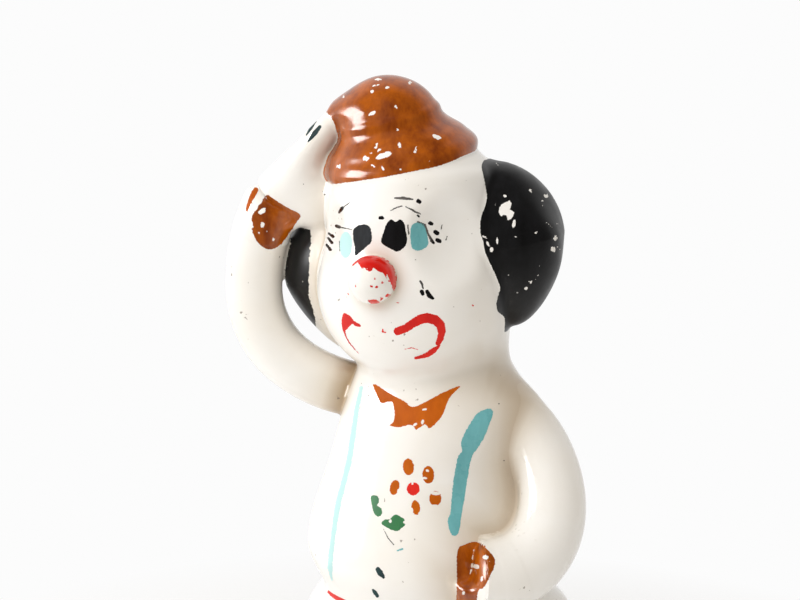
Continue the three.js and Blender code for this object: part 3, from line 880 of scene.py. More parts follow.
def slope(field, points, step=0.02):
    columns = []
    for shift in np.eye(3) * step:
        columns.append((field(points + shift) - field(points - shift)) / (2 * step))
    return np.stack(columns, axis=1)


def settle(field, points, cell):
    """Moves points onto the surface, by less than a cell."""
    for _ in range(SETTLE_ROUNDS):
        rise = slope(field, points)
        move = (field(points) / np.maximum(np.sum(rise**2, axis=1), LEAST_SLOPE))[:, None] * rise
        size = np.linalg.norm(move, axis=1, keepdims=True)
        points = points - move * np.minimum(1, LARGEST_MOVE * cell / np.maximum(size, TINY))
    return points


def cell_size(cell):
    return cell


def make_object(name, figure, points, quads, material):
    """A mesh object from points in the figure's millimetres, shaded as the whole figure's skin."""
    mesh = bpy.data.meshes.new(name)
    mesh.from_pydata(((points + figure.axis) * MM).tolist(), [], quads.tolist())
    mesh.shade_smooth()
    shown = np.abs(figure.surface(points)) < 2 * FILM_THICKNESS
    normals = unit(slope(figure.surface, points)) * shown[:, None]
    mesh.normals_split_custom_set_from_vertices(normals.tolist())
    mesh.materials.append(material)
    piece = bpy.data.objects.new(name, mesh)
    bpy.context.scene.collection.objects.link(piece)
    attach(piece, "root")
    return piece


def keep_values(piece, name, values):
    """Stores one number for each vertex, which the finishes read."""
    piece.data.attributes.new(name, "FLOAT", "POINT").data.foreach_set("value", values)


def add_piece(figure, name, cell, material, bare=None):
    """The dressed piece that stands for one node of the frame, with where its paint is worn off."""
    part = figure.parts[name]
    cell = cell_size(cell)
    field = figure.piece(name)
    points, quads = skin(sample(field, part.low, part.high, cell), part.low, cell)
    points = settle(field, points, cell)
    piece = make_object(f"{name}_clay", figure, points, quads, material)
    keep_values(piece, "bare", np.full(len(points), -FAR) if bare is None else bare(points))
    # Where glaze ran into corners, with the painted shade laid in them
    keep_values(piece, "pooled_shade", figure.pooled_shade(name, points))
    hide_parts(name)


# The photograph's view, and brush marks drawn in its pixels


RAY_START = 60  # ahead of the point that the camera looks at, in millimetres
RAY_STEPS = 70
RAY_CAUTION = 0.7  # of the distance to the clay
SHORTEST_STEP, LONGEST_STEP = -1, 4
TOUCH = 0.1
PROBES = 14  # rays along each side of a mark's box
MARK_ROOM = 0.8  # round a mark's box on the clay, in millimetres


class View:
    """The camera's axes and place in the figure's millimetres."""

    def __init__(self, stage):
        sizes = measures(stage)
        turn, lift = sizes.camera_turn, sizes.camera_lift
        self.right = np.array([math.cos(turn), math.sin(turn), 0.0])
        level_ahead = np.array([-math.sin(turn), math.cos(turn), 0.0])
        upright = np.array([0.0, 0.0, 1.0])
        self.ahead = level_ahead * math.cos(lift) - upright * math.sin(lift)
        self.up = level_ahead * math.sin(lift) + upright * math.cos(lift)
        self.distance = sizes.camera_distance
        self.pixel = sizes.frame_width / PHOTO_WIDTH
        self.target = self.right * sizes.aim_aside + self.up * sizes.aim_rise
        self.eye = self.target - self.ahead * self.distance

    def pixels(self, points):
        offset = points - self.eye
        scale = self.distance / (offset @ self.ahead) / self.pixel
        across, up = offset @ self.right * scale, offset @ self.up * scale
        return PHOTO_MIDDLE + np.stack([across, -up], axis=1)

    def touch(self, figure, pixels):
        """Where the rays through these pixels first meet the clay."""
        across = (pixels - PHOTO_MIDDLE) * self.pixel
        aims = self.target + across[:, :1] * self.right - across[:, 1:] * self.up
        rays = unit(aims - self.eye)
        points = aims - rays * RAY_START
        for _ in range(RAY_STEPS):
            step = np.clip(figure.surface(points) * RAY_CAUTION, SHORTEST_STEP, LONGEST_STEP)
            points = points + rays * step[:, None]
        return points[np.abs(figure.surface(points)) < TOUCH]


# How uneven the edges of brushwork and of its chips are, in pixels
EDGE_GRAIN = 1.6
CHIP_GRAIN = 1.3
CHIP_RAGGED = 0.3


def grain(spots, size):
    """Smooth repeatable unevenness between about -1 and 1, in swirls of about this size."""
    x, y = (spots / size).T
    swirl = np.sin(1.3 * x + 2.1 * np.sin(0.9 * y)) * np.sin(1.7 * y + 1.9 * np.sin(1.1 * x))
    fine = np.sin(3.1 * x - 1.7 * y) * np.sin(2.3 * x + 3.7 * y)
    return 0.65 * swirl + 0.35 * fine


class Mark:
    """A painted shape: its distance field and its box, in pixels or, on the clay, in millimetres."""

    def __init__(self, distance, low, high):
        self.distance = distance
        self.low = np.asarray(low, float)
        self.high = np.asarray(high, float)


def brush(*stops):
    """A stroke through points (x, y, half width)."""
    stops = np.array(stops, float)

    def distance(spots):
        if len(stops) == 1:
            return np.hypot(*(spots - stops[0, :2]).T) - stops[0, 2]
        best = np.full(len(spots), FAR)
        for start, end in zip(stops[:-1], stops[1:]):
            step = end[:2] - start[:2]
            share = np.clip((spots - start[:2]) @ step / (step @ step), 0, 1)
            gap = np.linalg.norm(spots - start[:2] - share[:, None] * step, axis=1)
            best = np.minimum(best, gap - start[2] - share * (end[2] - start[2]))
        return best

    return Mark(distance, (stops[:, :2] - stops[:, 2:]).min(0), (stops[:, :2] + stops[:, 2:]).max(0))


def dab(x, y, half_across, half_down, turn=0.0):
    """An oval touch of the brush, turned clockwise by degrees."""
    cosine, sine = math.cos(math.radians(turn)), math.sin(math.radians(turn))

    def distance(spots):
        across, down = (spots - (x, y)).T
        return oval(across * cosine + down * sine, down * cosine - across * sine, half_across, half_down)

    reach = max(half_across, half_down)
    return Mark(distance, (x - reach, y - reach), (x + reach, y + reach))


def patch(*corners):
    """A filled outline, smooth through its corners."""
    corners = np.array(corners, float)
    closed = np.concatenate([corners[-1:], corners, corners[:2]])
    outline = smooth_rows(np.arange(len(closed)) - 1, closed, np.arange(0, len(corners), 0.25))

    def distance(spots):
        nearest = np.full(len(spots), FAR)
        within = np.zeros(len(spots), bool)
        for start, end in zip(outline, np.roll(outline, -1, axis=0)):
            step = end - start
            offset = spots - start
            share = np.clip(offset @ step / max(step @ step, TINY), 0, 1)
            nearest = np.minimum(nearest, np.linalg.norm(offset - share[:, None] * step, axis=1))
            spans = (start[1] > spots[:, 1]) != (end[1] > spots[:, 1])
            rise = step[1] if step[1] else TINY
            within ^= spans & (offset[:, 0] < offset[:, 1] * step[0] / rise)
        return np.where(within, -nearest, nearest)

    return Mark(distance, corners.min(0) - 1, corners.max(0) + 1)


def worn(mark, ragged=0.35):
    """The mark with an uneven edge."""

    def distance(spots):
        return mark.distance(spots) + ragged * grain(spots, EDGE_GRAIN)

    return Mark(distance, mark.low - 1, mark.high + 1)


def union(*marks):
    """Several marks as one."""

    def distance(spots):
        return np.min([mark.distance(spots) for mark in marks], axis=0)

    low = np.min([mark.low for mark in marks], axis=0)
    high = np.max([mark.high for mark in marks], axis=0)
    return Mark(distance, low, high)


def chipped(mark, chips):
    """The mark with an uneven edge and these chips gone."""
    whole = worn(mark)
    gone = union(*chips)

    def distance(spots):
        chip = gone.distance(spots) + CHIP_RAGGED * grain(spots, CHIP_GRAIN)
        return np.maximum(whole.distance(spots), -chip)

    return Mark(distance, whole.low, whole.high)


def waist_line(body):
    """The red line in the pinch of the waist, across the front only, on the clay itself."""
    half = body.waist[1:3] / 2 + 1
    height = body.waist[0]

    def distance(points):
        x, y, z = points.T
        turn = np.arctan2(x, -y)
        middle = height - 0.25 + 0.2 * np.sin(2 * turn + 1)
        line = np.abs(z - middle) - 0.36 - 0.14 * np.sin(5 * turn) * np.sin(3 * turn + 0.6)
        beyond = np.abs(turn + 0.1) - 0.7
        return np.maximum(line, beyond * half[0])

    return Mark(distance, (-half[0], -half[1], height - 1.4), (half[0] + 1, half[1], height + 1.2))


def seen_mark(figure, view, mark):
    """A mark of the picture as a shape in the figure's millimetres, with its box on the clay."""
    steps = [np.linspace(low, high, PROBES) for low, high in zip(mark.low, mark.high)]
    hits = view.touch(figure, np.stack(np.meshgrid(*steps), axis=-1).reshape(-1, 2))
    if len(hits) == 0:
        raise ValueError(f"the mark at {mark.low} misses the clay")

    def distance(points):
        return mark.distance(view.pixels(points)) * view.pixel

    return Mark(distance, hits.min(0) - MARK_ROOM, hits.max(0) + MARK_ROOM)


def add_film(figure, name, material, marks, slot=None):
    """One colour of brushwork as thin closed films, seated in the clay."""
    cell = cell_size(FILM_CELL)
    all_points, all_quads, count = [], [], 0
    for mark in marks:

        def field(points, mark=mark):
            surface = figure.surface(points)
            sheet = np.maximum(surface - FILM_THICKNESS, -surface - FILM_ROOT)
            return np.maximum(mark.distance(points), sheet)

        points, quads = skin(sample(field, mark.low, mark.high, cell), mark.low, cell)
        all_points.append(settle(field, points, cell))
        all_quads.append(quads + count)
        count += len(points)
    film = make_object(name, figure, np.concatenate(all_points), np.concatenate(all_quads), material)
    keep_values(film, "bare", np.full(count, -FAR))


# Outlines as corners (x, y), strokes as stops (x, y, half width) and dabs as their middle, half sizes
# and turn in degrees, all in pixels

EYE_BY_RAISED_ARM = (
    (353, 231), (356, 226.6), (362.5, 224.4), (369, 226), (371.5, 231), (372, 240), (370, 244),
    (364, 249), (356.5, 255.5), (354.8, 254.6), (355, 247.6), (353.4, 240),
)
OTHER_EYE = (
    (381, 240), (383.5, 232), (386.7, 223.4), (391.2, 219.4), (395.7, 221.6), (400, 219.2),
    (404, 222.7), (406, 231), (407.2, 240), (405, 246.5), (398.2, 251.4), (391.8, 249.6), (383, 244.5),
)
TEAL_LID = (
    (410.3, 231), (412.2, 224.8), (418.6, 222), (424.4, 224.6), (426.4, 231), (428.2, 240),
    (427.4, 246.3), (418.8, 250.8), (412.4, 248.2), (410.6, 241),
)
# The lid by the raised arm, in the teal painted lighter for the light falling there: painted light
LIT_LID = (346, 245, 6.4, 13.4)
LASHES = (
    ((328.7, 233.3, 1.2), (333.2, 236.6, 1.7)),
    ((328.3, 238, 1.2), (331.9, 242.5, 1.7)),
    ((327, 245, 1.5), (330.4, 249.5, 1.7)),
    ((339.5, 212.2, 1.5), (342.3, 208.2, 1.9)),
    ((336.4, 225.8, 1.6), (339.4, 227, 1.8)),
    ((418, 201, 2.1), (419.4, 201.8, 2.2)),
    ((380.2, 217.8, 1.8), (382.6, 217.9, 1.8)),
    ((417.6, 215.4, 1.1), (418.8, 216.4, 1.2)),
    ((429.8, 223, 2.0), (431.6, 223.8, 2.0)),
    ((435.2, 232, 2.2), (437.4, 233.4, 2.2)),
    ((437.2, 240, 2.1), (439.6, 241.2, 2.1)),
    ((431.4, 240.6, 1.7), (433.2, 242.6, 1.7)),
    ((421.6, 291.4, 2.1), (422.6, 293.6, 2.1)),
    ((427, 291.6, 2.0), (429.6, 296, 2.5), (433, 298.4, 1.4)),
)
FADED_LINES = (
    ((394.6, 198, 0.9), (404, 198.2, 1.7), (412.9, 199.4, 0.8)),
    ((390.6, 210.6, 0.6), (396.9, 207.4, 0.8), (402, 206.2, 0.8)),
    ((405.6, 206.8, 0.7), (410, 208.6, 0.8), (414.8, 211.6, 1.0), (420.4, 213.8, 0.6)),
    ((344, 206.8, 0.6), (351, 201.7, 0.5)),
    ((341, 227.3, 0.6), (352, 229.7, 0.5)),
    ((339.5, 241.2, 0.6), (339.8, 251.2, 0.5)),
    ((407.8, 224.8, 0.6), (408.6, 233.6, 0.9)),
    # This grey arc beside the teal lid is painted shade, drawn as a faded line
    ((418, 222, 1.0), (424.6, 225, 1.4), (427.8, 233.4, 1.3), (432, 241, 1.4)),
    ((441, 229, 0.7), (442.2, 224.6, 0.5)),
    ((447.3, 236, 0.5), (446, 240, 0.6)),
    ((420.4, 281.4, 1.3), (422, 284, 1.2), (423, 288.4, 0.9)),
)
MOUTH_PATCH = (
    (344.6, 312.7), (351, 316.4), (354.4, 321), (359.8, 324), (360.6, 326.8), (356, 326.4),
    (352.3, 324.2), (347.8, 328.6), (345.6, 332), (348, 339.4), (353.6, 347), (359.3, 354.1),
    (354, 349), (348, 341.6), (343.8, 333), (341.5, 324), (342.4, 316.4),
)
MOUTH_STROKE = (
    (397.6, 331.2, 4.0), (405.9, 328.2, 4.2), (412.2, 323.8, 4.4), (419.9, 319.4, 4.8),
    (427.6, 317.9, 5.0), (435.2, 319.9, 5.0), (440.6, 324.8, 4.6), (441.7, 331.8, 4.0),
    (440.4, 338.2, 3.4), (437.9, 343.2, 2.6),
)
MOUTH_TAIL = (
    (439.8, 345.2, 1.0), (433.9, 350.2, 2.9), (427.6, 354.6, 2.8), (421.2, 356.7, 2.0),
    (415.4, 358, 1.4),
)
RED_FLECKS = (
    ((382.9, 329.4, 0.8), (382.7, 331.8, 0.9), (385.6, 332.4, 0.8)),
    ((472, 304.6, 0.6), (473, 305.6, 0.9)),
    ((395, 302.2, 0.3), (399, 302.8, 0.5)),
    ((355.3, 285, 0.4), (355.7, 287, 0.5)),
    ((348, 293.4, 0.4), (349, 295, 0.6)),
    ((405, 349, 0.3), (412, 347.6, 0.5), (418, 349.6, 0.3)),
)
BOW_TIE = (
    (373.3, 383.8), (389.4, 393), (404.3, 401), (412.9, 406.9), (427.2, 401), (441, 393.5),
    (457, 386.6), (459.8, 387.2), (451.4, 395.8), (446.8, 404.4), (443.3, 413.6), (437.6, 421.7),
    (429.5, 428.4), (425.3, 424.4), (418.5, 428.4), (416, 430), (411, 424.8), (399.7, 427.3),
    (389.6, 425.6), (393.6, 421.6), (394.6, 414), (393, 403.6), (389.2, 401.8), (381.3, 403.2),
    (377.6, 396.6),
)
BOW_TIE_CHIPS = (
    (424.5, 409.5, 2.6, 0.9, -8), (415.2, 424.4, 2.2, 1.2, -30), (422.6, 422, 1.4, 2.4, 20),
)
TEAL_BRACE = (
    (488, 408.6), (493.3, 412), (489.4, 424), (484.6, 436.6), (477.8, 448), (473.6, 453.6),
    (470.2, 463), (467.6, 479), (464.4, 499), (461.7, 515), (458.6, 532.6), (453.6, 535.6),
    (450.3, 532.4), (447.6, 521.8), (450.2, 513), (450.8, 506.4), (452.5, 488), (454.8, 471.7),
    (458, 456.6), (462, 450.8), (460.6, 443.5), (464, 434.3), (469.7, 424), (477.8, 413),
)
# The brace on the lit side, in the teal painted lighter for the light falling there: painted light
LIT_BRACE = (
    (361.4, 388, 2.0), (357, 408, 2.4), (353, 436, 2.7), (349, 462, 2.8), (344, 482, 2.8),
    (339, 500, 2.9), (336, 517, 2.7), (333, 538, 2.4), (331, 555, 2.5), (330, 567, 2.6),
    (332, 580, 0.7),
)
PETALS = (
    (408.5, 466.8, 5.6, 8.4, -4),
    (428.3, 474.8, 5.9, 8.9, -2),
    (394.7, 487.4, 4.8, 7.6, 14),
    (435.3, 498.4, 6.2, 7.4, 0),
    (415.8, 507.6, 4.4, 7.4, -10),
)
PETAL_CHIPS = (
    (415, 462, 2.2, 2.6, 0),
    (427.4, 470.6, 1.6, 1.2, 30),
    (424.8, 478, 2.4, 1.0, 10),
    (399.4, 491, 2.4, 2.0, -30),
    (435.4, 493.4, 4.6, 1.6, 6),
    (434.8, 506, 3.0, 1.4, 0),
    (420.6, 502, 2.2, 2.0, 40),
    (411.4, 511, 1.6, 3.0, 10),
    (420.6, 513.6, 2.4, 2.2, 0),
)
FLOWER_MIDDLE = (413.2, 488.8, 6.5, 6.7)
FLOWER_MIDDLE_CHIP = (412.4, 483, 1.0, 2.0)
LEAF_UPRIGHT = (
    (370.8, 497.4), (374.9, 495), (378.6, 497.8), (379, 502.4), (376.8, 505.4), (381, 508.2),
    (382.4, 512.8), (379.4, 516.6), (375.4, 515), (372.8, 509.6),
)
LEAF_FLAT = (
    (381.4, 523.8), (384.7, 519.6), (390, 519.2), (392.8, 515.8), (396.1, 514.2), (401, 516.8),
    (405.2, 519.8), (403, 522.2), (405.2, 524.8), (401, 529), (395.5, 531.2), (387, 527.6),
)
LEAF_CHIP = (390.3, 521.3, 1.5, 1.6)
STEM = ((383.6, 529, 0.3), (387.9, 537.8, 0.6), (393.9, 544.9, 0.5))
STEM_END = ((397.4, 550.7, 0.8), (402.4, 549, 1.1))
BUTTONS = (
    ((378, 569.4, 2.6), (380.2, 573, 3.1), (383.6, 577, 1.6)),
    ((373.2, 590, 1.3), (375.4, 593, 2.1), (377.4, 596, 1.6)),
)
FINGER_LINES = (
    ((306.4, 135, 0.7), (311, 128, 1.6), (316, 121, 0.9)),
    ((308.4, 141.4, 1.1), (314.6, 133.4, 2.6), (320, 126.6, 1.7)),
)
DUST = (
    (303.5, 184, 0.7), (324.6, 194.5, 1.0), (322.5, 191.4, 0.6), (453.7, 307, 0.6), (415.4, 259.8, 0.6),
    (499, 403.6, 0.8), (504, 460.6, 0.7), (472, 233.6, 0.5), (466, 180.6, 0.5),
)
NOSE_BARE = (
    (336, 266), (350, 266), (357, 263.4), (361.6, 267.6), (366, 269.6), (369.6, 271.8), (374, 268.6),
    (378.6, 271), (383, 274), (386.6, 278.6), (390.6, 282.6), (392.6, 290), (397, 299), (390, 312),
    (366, 316), (336, 306),
)
NOSE_FLECKS = (
    (374, 302, 6.4, 2.4, 14), (388, 295.4, 2.4, 1.6, -30), (381, 298.8, 2.2, 1.6, -30),
    (371.4, 286.6, 1.8, 0.8, 30), (376.4, 286.6, 1.2, 1.2, 0), (382.4, 282.6, 1.4, 1.0, -20),
    (374.6, 279, 1.0, 0.8, 0), (386, 290, 0.8, 0.6, 0),
)
RAISED_CUFF_PAINT = (
    (267, 195), (276, 200.4), (288, 207.6), (300.6, 214.6), (297, 221.6), (291.6, 229.4), (284, 240.4),
    (276.4, 247.6), (268.6, 249.4), (261.4, 246), (255.8, 239.6), (252.8, 231), (251.4, 222),
    (252.6, 214.6), (256.6, 209.4), (262, 202),
)
# The glaze left bare between this strip and the cuff's main paint is partly worn paint and partly a
# painted highlight
RAISED_CUFF_STRIP = (
    (255.4, 187.2), (258.6, 190.2), (253.6, 199), (249.6, 207.4), (247.2, 212.4), (245.8, 208.6),
    (248.6, 198.6), (252, 191),
)
RAISED_CUFF_CHIPS = (
    (262.4, 211, 4.6, 2.6, -30), (262.3, 224.8, 2.2, 3.0, 0), (251.6, 225, 1.8, 4.0, -10),
    (273.4, 239.4, 1.2, 2.0, 20), (259, 233, 1.0, 1.2, 0), (266, 231.6, 1.4, 0.8, 0),
)
HIP_CUFF_CHIPS = (
    (485.5, 557.3, 3.0, 2.2, 0), (476.4, 566.6, 3.6, 2.2, 20), (482, 579, 1.4, 3.0, 14),
    (463.6, 593, 1.4, 1.8, 20), (490, 561, 1.6, 1.0, 0),
)
HIP_CUFF_PAINT = (
    (457.3, 551), (464.8, 544.4), (474.6, 541.6), (483.4, 545.6), (494, 557.4), (494.6, 565),
    (490, 576), (484.4, 586.4), (478.4, 590), (477, 598), (476.6, 608), (466, 608), (457.2, 608),
    (456.8, 580),
)
HAIRLINE = (
    (489, 158.6), (481.6, 164.4), (484.4, 181.4), (486.8, 199), (481.6, 215), (480, 227.4),
    (482.4, 239.6), (491.2, 255), (496.8, 270.2), (500.2, 287), (496.8, 299.4), (496.8, 310),
    (503, 316), (508, 320), (511, 324), (522, 316), (522, 240), (520, 180), (505, 160),
)
HAIR_CHIP = (
    (499, 212), (500.6, 204.4), (505.2, 202.8), (509.8, 199.8), (511.6, 204.4), (510, 209.6),
    (514.6, 211.2), (512.8, 216.6), (508.3, 220.4), (506, 215), (501.4, 216.4),
)
HAIR_CHIPS = (
    (505, 196, 1.8, 1.4, 0), (514, 223.4, 1.8, 4.4, 10), (495.4, 205, 1.0, 1.2, 0),
    (545.8, 196, 2.0, 1.8, -30), (530.4, 190.6, 2.6, 1.2, 40), (542, 201, 1.2, 0.8, 0),
    (555, 238, 2.2, 2.4, 30), (553.4, 249.4, 2.0, 2.8, -20), (516, 237, 2.0, 0.8, 20),
    (536, 232, 1.8, 0.8, -30), (485, 237, 2.8, 1.2, 24), (488, 244, 1.2, 3.6, -30),
    (491.6, 249.6, 1.8, 2.4, 20), (497, 241, 0.9, 3.6, 0), (516, 292.6, 2.4, 0.8, 0),
    (526, 288.6, 1.0, 1.4, 0),
)
UNREACHED_HAIR = (
    (306.4, 216.6), (309.6, 224), (311, 240), (309.4, 260), (308.6, 280), (309.6, 299), (313.6, 311),
    (315.6, 326), (312, 350), (350, 360), (345, 180), (300, 180),
)
HAT_CHIPS = (
    (436.6, 136.6, 4.6, 2.0, 22), (399.6, 145, 1.4, 3.2, -10), (415.6, 149.4, 1.2, 4.0, 14),
    (396.6, 129.8, 2.2, 1.0, -14), (372, 91.4, 1.6, 2.0, 10), (376, 85.2, 3.6, 1.2, -10),
    (387.6, 87.4, 2.4, 1.2, -10), (410, 82.4, 1.8, 1.0, 20), (378.4, 79.4, 3.4, 1.0, -6),
    (372, 113.4, 4.0, 1.6, -30), (376, 147, 2.6, 1.0, -50), (373, 166, 2.4, 1.2, 30),
    (383, 168.4, 1.2, 2.6, -20), (396, 107, 1.2, 2.6, -20), (429.6, 161.4, 1.4, 1.2, 0),
    (343.6, 97, 1.4, 1.2, 0), (400.4, 169.6, 1.0, 1.0, 0), (422, 144.6, 1.0, 0.8, 0),
    (383.6, 155.4, 8.4, 2.8, -20), (366, 158.6, 2.8, 2.2, 0), (377, 144.6, 2.6, 0.9, -60),
    (379.6, 150.2, 2.4, 0.9, -40), (371.6, 152.4, 1.6, 0.8, -30), (339, 166.4, 2.0, 1.8, 0),
)
HAT_HEM = (
    (343, 172), (344, 182), (365, 180), (390, 176), (415, 171), (435, 167), (450, 162), (465, 155),
    (476, 149.6), (470, 146), (440, 154), (400, 162), (360, 167),
)


# Glaze and enamel


def add_node(tree, kind, inputs=None, **settings):
    node = tree.nodes.new(kind)
    for key, value in settings.items():
        setattr(node, key, value)
    for key, value in (inputs or {}).items():
        if isinstance(value, bpy.types.NodeSocket):
            tree.links.new(value, node.inputs[key])
        else:
            node.inputs[key].default_value = value
    return node


CERAMIC_IOR = 1.5
BRUSH_STRETCH = (1.0, 1.0, 0.35)  # streaks run up and down


def new_material(name):
    material = bpy.data.materials.new(name)
    material.use_nodes = True
    return material, material.node_tree, material.node_tree.nodes["Principled BSDF"]


def noise(tree, scale, detail=2.0, roughness=0.5, stretch=None):
    """Noise in the object's own metres, stretched along its axes if asked."""
    place = add_node(tree, "ShaderNodeTexCoord").outputs["Object"]
    if stretch:
        mapping = add_node(tree, "ShaderNodeMapping", {"Vector": place, "Scale": stretch})
        place = mapping.outputs["Vector"]
    inputs = {"Vector": place, "Scale": scale, "Detail": detail, "Roughness": roughness}
    return add_node(tree, "ShaderNodeTexNoise", inputs).outputs["Fac"]


def arithmetic(tree, operation, one, other):
    return add_node(tree, "ShaderNodeMath", {0: one, 1: other}, operation=operation).outputs["Value"]


def between(tree, value, low, high, start=0.0, end=1.0):
    inputs = {"Value": value, "From Min": low, "From Max": high, "To Min": start, "To Max": end}
    return add_node(tree, "ShaderNodeMapRange", inputs, clamp=True).outputs["Result"]


def blended(tree, share, one, other):
    node = add_node(tree, "ShaderNodeMix", data_type="RGBA")
    for socket, value in (("Factor_Float", share), ("A_Color", one), ("B_Color", other)):
        target = next(item for item in node.inputs if item.identifier == socket)
        if isinstance(value, bpy.types.NodeSocket):
            tree.links.new(value, target)
        else:
            target.default_value = value
    return next(item for item in node.outputs if item.identifier == "Result_Color")


def opaque(colour):
    return (*colour, 1.0)


def glaze_colour(tree, paints):
    """Off-white glaze, creamier and darker in the corners between pieces, partly as glaze that ran there
    and partly as painted shade, with scattered specks.
    """
    pooled_shade = add_node(tree, "ShaderNodeAttribute", attribute_name="pooled_shade").outputs["Fac"]
    uneven = between(tree, noise(tree, 70, 3), 0.42, 0.72)
    plain = blended(tree, uneven, opaque(paints.glaze), opaque(paints.glaze_warm))
    # Tan and then deep brown in the corners between pieces: partly glaze that ran there, partly painted
    # shade
    plain = blended(tree, pooled_shade, plain, opaque(paints.glaze_pooled))
    deep = between(tree, pooled_shade, 0.5, 1.0, 0.0, 0.8)
    plain = blended(tree, deep, plain, opaque(paints.glaze_deep))
    crowd = between(tree, noise(tree, 140), 0.45, 0.6)
    specks = arithmetic(tree, "MULTIPLY", noise(tree, 1500, 0), crowd)
    return blended(tree, between(tree, specks, 0.79, 0.83, 0, 0.7), plain, opaque(paints.speck))


def glaze_material(paints):
    material, tree, shader = new_material("off_white_glaze")
    tree.links.new(glaze_colour(tree, paints), shader.inputs["Base Color"])
    tree.links.new(between(tree, noise(tree, 260, 3), 0.3, 0.7, 0.1, 0.2), shader.inputs["Roughness"])
    shader.inputs["IOR"].default_value = CERAMIC_IOR
    waves = {"Height": noise(tree, 240, 1), "Strength": 0.12, "Distance": 0.0002}
    tree.links.new(add_node(tree, "ShaderNodeBump", waves).outputs["Normal"], shader.inputs["Normal"])
    return material


def enamel_material(name, paints, thin, deep, chips, dull):
    """Brushed enamel over the glaze, streaked by the brush and flaked off where it is worn."""
    material, tree, shader = new_material(name)
    streaks = between(tree, noise(tree, 330, 4, 0.65, BRUSH_STRETCH), 0.34, 0.68)
    colour = blended(tree, streaks, opaque(thin), opaque(deep))
    edge = arithmetic(tree, "MULTIPLY", arithmetic(tree, "SUBTRACT", noise(tree, 1600, 3), 0.5), 0.9)
    inside = add_node(tree, "ShaderNodeAttribute", attribute_name="bare").outputs["Fac"]
    bare = between(tree, arithmetic(tree, "ADD", inside, edge), -0.03, 0.03)
    if chips:
        clusters = arithmetic(tree, "MULTIPLY", noise(tree, 110, 2), 0.5)
        flakes = arithmetic(tree, "ADD", noise(tree, 820, 2, 0.6), clusters)
        bare = arithmetic(tree, "MAXIMUM", bare, between(tree, flakes, 1 - chips, 1.012 - chips))
    tree.links.new(blended(tree, bare, colour, glaze_colour(tree, paints)), shader.inputs["Base Color"])
    roughness = between(tree, noise(tree, 420, 3), 0.3, 0.7, 0.12 + dull, 0.24 + dull)
    tree.links.new(roughness, shader.inputs["Roughness"])
    shader.inputs["IOR"].default_value = CERAMIC_IOR
    shader.inputs["Specular IOR Level"].default_value = 0.5 - 0.8 * dull
    height = arithmetic(tree, "SUBTRACT", arithmetic(tree, "MULTIPLY", streaks, 0.25), bare)
    relief = {"Height": height, "Strength": 0.35, "Distance": 0.00006}
    tree.links.new(add_node(tree, "ShaderNodeBump", relief).outputs["Normal"], shader.inputs["Normal"])
    return material


def finish(scene, name):
    """One of the figurine's finishes, made when it is first needed."""
    if name in bpy.data.materials:
        return bpy.data.materials[name]
    paints = scene.figurine_paints
    if name == "off_white_glaze":
        return glaze_material(paints)
    # Thin and deep colour, share that is chipped, and dullness
    enamels = {
        "worn_brown": (paints.brown, paints.brown_deep, 0.0, 0.0),
        "worn_black": (paints.black, paints.black_deep, 0.01, 0.2),
        "worn_red": (paints.red, paints.red_deep, 0.03, 0.0),
        "ochre_brushwork": (paints.ochre, paints.ochre_deep, 0.0, 0.5),
        "black_brushwork": (paints.black, paints.black_deep, 0.0, 0.0),
        "dull_black_brushwork": (paints.worn_black, paints.black, 0.0, 0.5),
        "red_brushwork": (paints.red, paints.red_deep, 0.0, 0.3),
        "teal_brushwork": (paints.teal, paints.teal_deep, 0.0, 0.1),
        # The teal enamel painted lighter for the light on the lit side: painted light
        "lit_teal_brushwork": (paints.pale_teal, paints.pale_teal, 0.0, 0.5),
        "green_brushwork": (paints.green, paints.green_deep, 0.0, 0.3),
        "bottle_green_brushwork": (paints.bottle, paints.bottle_deep, 0.0, 0.5),
        "faded_brushwork": (paints.faded, paints.black, 0.0, 0.5),
    }
    return enamel_material(name, paints, *enamels[name])


def bare_where(view, *marks):
    """How far inside a worn-off mark each point lies, in millimetres."""
    mark = union(*marks)

    def depth(points):
        return -mark.distance(view.pixels(points)) * view.pixel

    return depth


def bare_but(view, painted, chips):
    """How far outside its paint, or inside a chip of it, each point lies, in millimetres."""
    gone = union(*chips)

    def depth(points):
        spots = view.pixels(points)
        return np.maximum(painted.distance(spots), -gone.distance(spots)) * view.pixel

    return depth


def dabs(rows):
    return [dab(*row) for row in rows]


def fine_strokes(rows):
    """A stroke with only slightly uneven edges for each row of stops."""
    return [worn(brush(*stops), ragged=0.3) for stops in rows]


# Operators


class Workshop:
    """The figure, the photograph's view of it and its finishes, as every operator needs them."""

    def __init__(self, scene):
        self.scene = scene
        self.figure = model(scene)
        self.view = View(scene.figurine_stage)

    def piece(self, name, cell, colour, bare=None):
        add_piece(self.figure, name, cell, finish(self.scene, colour), bare)

    def film(self, name, colour, marks, slot=None):
        seen = [seen_mark(self.figure, self.view, mark) for mark in marks]
        add_film(self.figure, name, finish(self.scene, colour), seen, slot)


class FIGURINE_OT_body(bpy.types.Operator):
    """Model the torso and the trousers"""

    bl_idname = "figurine.body"
    bl_label = "Body"

    def execute(self, context):
        shop = Workshop(context.scene)
        for name in ("torso", "trousers"):
            shop.piece(name, BODY_CELL, "off_white_glaze")
        return {"FINISHED"}


class FIGURINE_OT_head(bpy.types.Operator):
    """Model the head and its worn red nose"""

    bl_idname = "figurine.head"
    bl_label = "Head"

    def execute(self, context):
        shop = Workshop(context.scene)
        view = shop.view
        shop.piece("head", BODY_CELL, "off_white_glaze")
        flecks = union(*dabs(NOSE_FLECKS))
        front = patch(*NOSE_BARE)

        def bare(points):
            spots = view.pixels(points)
            return np.minimum(-front.distance(spots), flecks.distance(spots)) * view.pixel

        shop.piece("nose", DETAIL_CELL / 2, "worn_red", bare)
        return {"FINISHED"}


